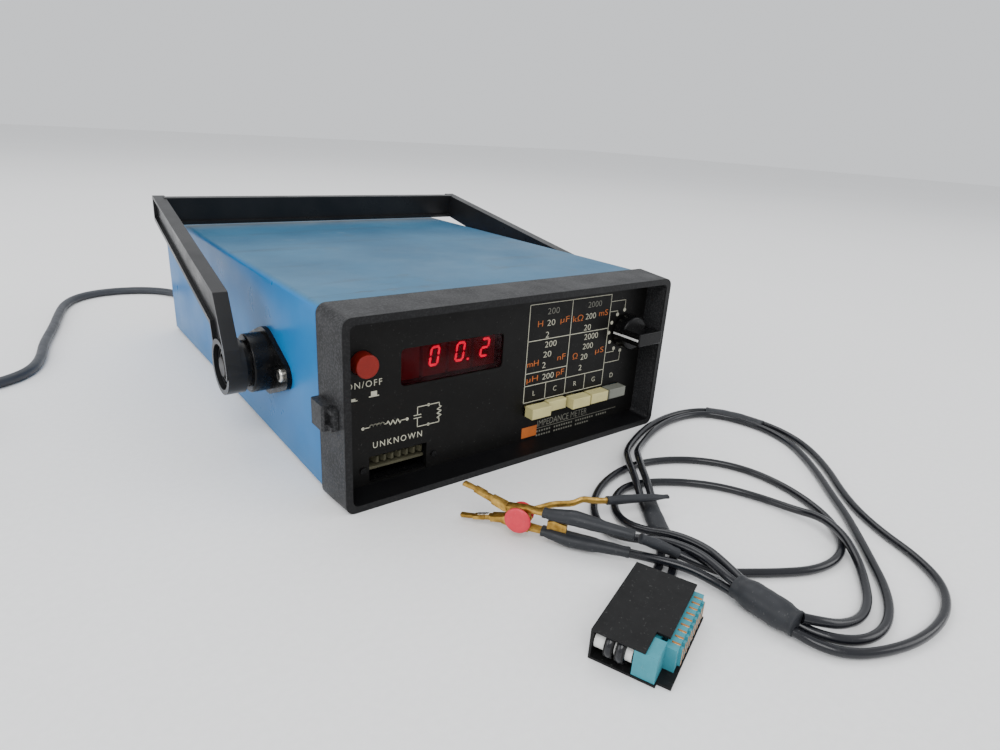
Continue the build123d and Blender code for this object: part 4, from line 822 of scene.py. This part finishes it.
piece("panel_words", to_mesh(cream, "panel_words"), "ink_cream", "meter", "panel_black")

rules = bmesh.new()
for points in ([(8.4, 87.1), (72, 87.1), (72, 28.8), (8.4, 28.8), (8.4, 87.1)], [(40.2, 87.1), (40.2, 28.8)],
               [(8.4, 66), (72, 66)], [(8.4, 46.7), (40.2, 46.7)], [(8.4, 39.1), (72, 39.1)],
               [(24.5, 39.1), (24.5, 28.8)], [(56.2, 39.1), (56.2, 28.8)]):
    line(rules, points, 0.42)
for points in ([(72, 82.6), (84.9, 82.6), (84.9, 76.6)], [(72, 76.2), (78.9, 76.2), (78.9, 74.2)],
               [(72, 49.9), (79.2, 49.9), (79.2, 51.5)], [(72, 43.2), (85.2, 43.2), (85.2, 49.4)]):
    line(rules, points, 0.34)
for k in range(7):
    angle = math.radians(97 + 27.9 * k)
    dot(rules, 86.5 + 13.3 * math.cos(angle), 63 + 13.3 * math.sin(angle), 1.2)
for words, x, z, width in (
        ("20", 24.6, 75.4, 6.0), ("2", 22.5, 68.5, 2.5), ("200", 55.8, 75.6, 8.4), ("20", 54.0, 68.8, 5.6),
        ("200", 25.7, 62.6, 8.8), ("20", 23.7, 56.6, 6.0), ("2", 21.8, 50.2, 2.5), ("2000", 58.0, 62.8, 11.4),
        ("200", 56.1, 56.9, 8.4), ("20", 53.7, 50.4, 5.6), ("2", 51.4, 43.7, 2.4), ("200", 25.8, 42.9, 8.8)):
    text(rules, words, x, z, 3.6, width)
for words, x in (("L", 15.9), ("C", 32.1), ("R", 48.4), ("G", 64.0), ("D", 80.0)):
    text(rules, words, x, 33.9, 3.1)
piece("panel_table", to_mesh(rules, "panel_table"), "ink_cream", "meter", "panel_black")

dim = bmesh.new()
text(dim, "200", 25.8, 82.2, 3.6, 8.8)
text(dim, "2000", 58.4, 82.6, 3.6, 11.2)
piece("panel_dim_words", to_mesh(dim, "panel_dim_words"), "ink_dim", "meter", "panel_black")

units = bmesh.new()
for words, x, z, width in (
        ("H", 16.6, 75.6, 3.6), ("µF", 35.1, 75.6, 6.8), ("kΩ", 45.6, 75.4, 8.0), ("mS", 66.4, 76.4, 7.4),
        ("mH", 13.4, 52.4, 8.2), ("nF", 35.1, 53.2, 6.2), ("Ω", 46.2, 51.9, 3.8), ("µS", 66.6, 52.3, 7.0),
        ("µH", 13.8, 42.6, 8.2), ("pF", 35.3, 43.0, 6.0)):
    text(units, words, x, z, 3.6, width)
piece("panel_units", to_mesh(units, "panel_units"), "ink_orange", "meter", "panel_black")

title = bmesh.new()
text(title, "IMPEDANCE METER", 41.1, 13.1, 4.1, 40.8)
line(title, [(20.3, 10.1), (87.9, 10.1)], 0.32)
for row, count in ((8.1, 30), (5.5, 22)):
    for k in range(count):
        if k % 9 != 6:
            x = 20.3 + 2.0 * k
            flat_box(title, [(x, row - 0.55), (x + 1.1, row - 0.55), (x + 1.1, row + 0.55), (x, row + 0.55)])
piece("panel_name", to_mesh(title, "panel_name"), "ink_dim", "meter", "panel_black")
patch = bmesh.new()
flat_box(patch, [(8.9, 6.0), (20.3, 6.0), (20.3, 12.7), (8.9, 12.7)])
piece("panel_patch", to_mesh(patch, "panel_patch"), "ink_orange", "meter", "panel_black")


# ---- lit digits ----
def seven(bm, x, z, parts, y):
    """A leaning seven-segment figure."""
    wide, tall, bar = 6.2, 11.0, 1.45
    lean = math.tan(math.radians(8))
    w, h, b = wide / 2 - bar / 2, tall / 2 - bar / 2, bar / 2
    shapes = {
        "a": [(-w + b, h + b), (w - b, h + b), (w, h), (w - b, h - b), (-w + b, h - b), (-w, h)],
        "g": [(-w + b, b), (w - b, b), (w, 0), (w - b, -b), (-w + b, -b), (-w, 0)],
        "d": [(-w + b, -h + b), (w - b, -h + b), (w, -h), (w - b, -h - b), (-w + b, -h - b), (-w, -h)],
        "b": [(w, h - 0.25), (w + b, h - b), (w + b, b), (w, 0.25), (w - b, b), (w - b, h - b)],
        "c": [(w, -0.25), (w + b, -b), (w + b, -h + b), (w, -h + 0.25), (w - b, -h + b), (w - b, -b)],
        "f": [(-w, h - 0.25), (-w + b, h - b), (-w + b, b), (-w, 0.25), (-w - b, b), (-w - b, h - b)],
        "e": [(-w, -0.25), (-w + b, -b), (-w + b, -h + b), (-w, -h + 0.25), (-w - b, -h + b), (-w - b, -b)],
    }
    for part in parts:
        flat_box(bm, [(x + px * 0.97 + lean * pz, z + pz) for px, pz in shapes[part]], y, 0.0001)


DIGIT_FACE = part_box("display_digits")[0].y
lit = bmesh.new()
seven(lit, -49.0, 65.2, "abcdef", DIGIT_FACE - 0.00005)
seven(lit, -33.2, 65.2, "abcdef", DIGIT_FACE - 0.00005)
seven(lit, -17.2, 65.2, "abged", DIGIT_FACE - 0.00005)
flat_box(lit, [(-28.1 + 0.75 * math.cos(k * math.pi / 8), 60.3 + 0.75 * math.sin(k * math.pi / 8))
               for k in range(16)],
         DIGIT_FACE - 0.00005, 0.0001)
piece("lit_digits", to_mesh(lit, "lit_digits"), "led_lit", "meter", "led_module")

mark = bmesh.new()
k_low, k_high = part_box("range_knob")
mid_z = (k_low.z + k_high.z) / 2
bar_x = k_low.x + 0.0003
ends = [(bar_x - 0.00045, k_low.y + 0.0008), (bar_x - 0.00045, -0.1576)]
verts = [mark.verts.new((x + dx, y, mid_z + dz))
         for x, y in ends for dx in (0.0, 0.0007) for dz in (-0.0006, 0.0006)]
for face in ((0, 1, 3, 2), (4, 6, 7, 5), (0, 4, 5, 1), (2, 3, 7, 6), (0, 2, 6, 4), (1, 5, 7, 3)):
    mark.faces.new([verts[k] for k in face])
piece("knob_mark", softened(mark, "knob_mark", 0.00008, 1), "white_rod", "knob", "black_plastic")


# ---- floor and light ----
floor_mesh = bpy.data.meshes.new("floor")
FLOOR = [(-6, -6, -0.0001), (6, -6, -0.0001), (6, 6, -0.0001), (-6, 6, -0.0001)]
floor_mesh.from_pydata(FLOOR, [], [(0, 1, 2, 3)])
floor = bpy.data.objects.new("floor", floor_mesh)
bpy.context.scene.collection.objects.link(floor)
floor_mesh.materials.append(plain("floor_paper", (0.86, 0.86, 0.86), 0.85, vary=0.01, scale=3, grain=300,
                                  strength=0.05))

world = bpy.data.worlds.new("world")
world.use_nodes = True
world.node_tree.nodes["Background"].inputs["Color"].default_value = (0.95, 0.97, 1.0, 1)
world.node_tree.nodes["Background"].inputs["Strength"].default_value = 0.95
bpy.context.scene.world = world
for name, place, aim, width, height, power in (
        ("key", (-1.1, -1.3, 1.7), (0, 0, 0.05), 1.6, 1.2, 34),
        ("side", (-1.9, 0.5, 0.9), (0, 0.1, 0.05), 1.4, 1.0, 12),
        ("fill", (1.5, -1.4, 1.1), (0, -0.1, 0.05), 1.2, 1.0, 10),
        ("top", (0.3, 0.9, 1.9), (0, 0.1, 0.05), 1.6, 1.2, 14)):
    data = bpy.data.lights.new(name, "AREA")
    data.shape = "RECTANGLE"
    data.size = width
    data.size_y = height
    data.energy = power
    lamp_obj = bpy.data.objects.new(name, data)
    bpy.context.scene.collection.objects.link(lamp_obj)
    lamp_obj.location = place
    lamp_obj.rotation_mode = "QUATERNION"
    lamp_obj.rotation_quaternion = (Vector(aim) - Vector(place)).to_track_quat("-Z", "Y")
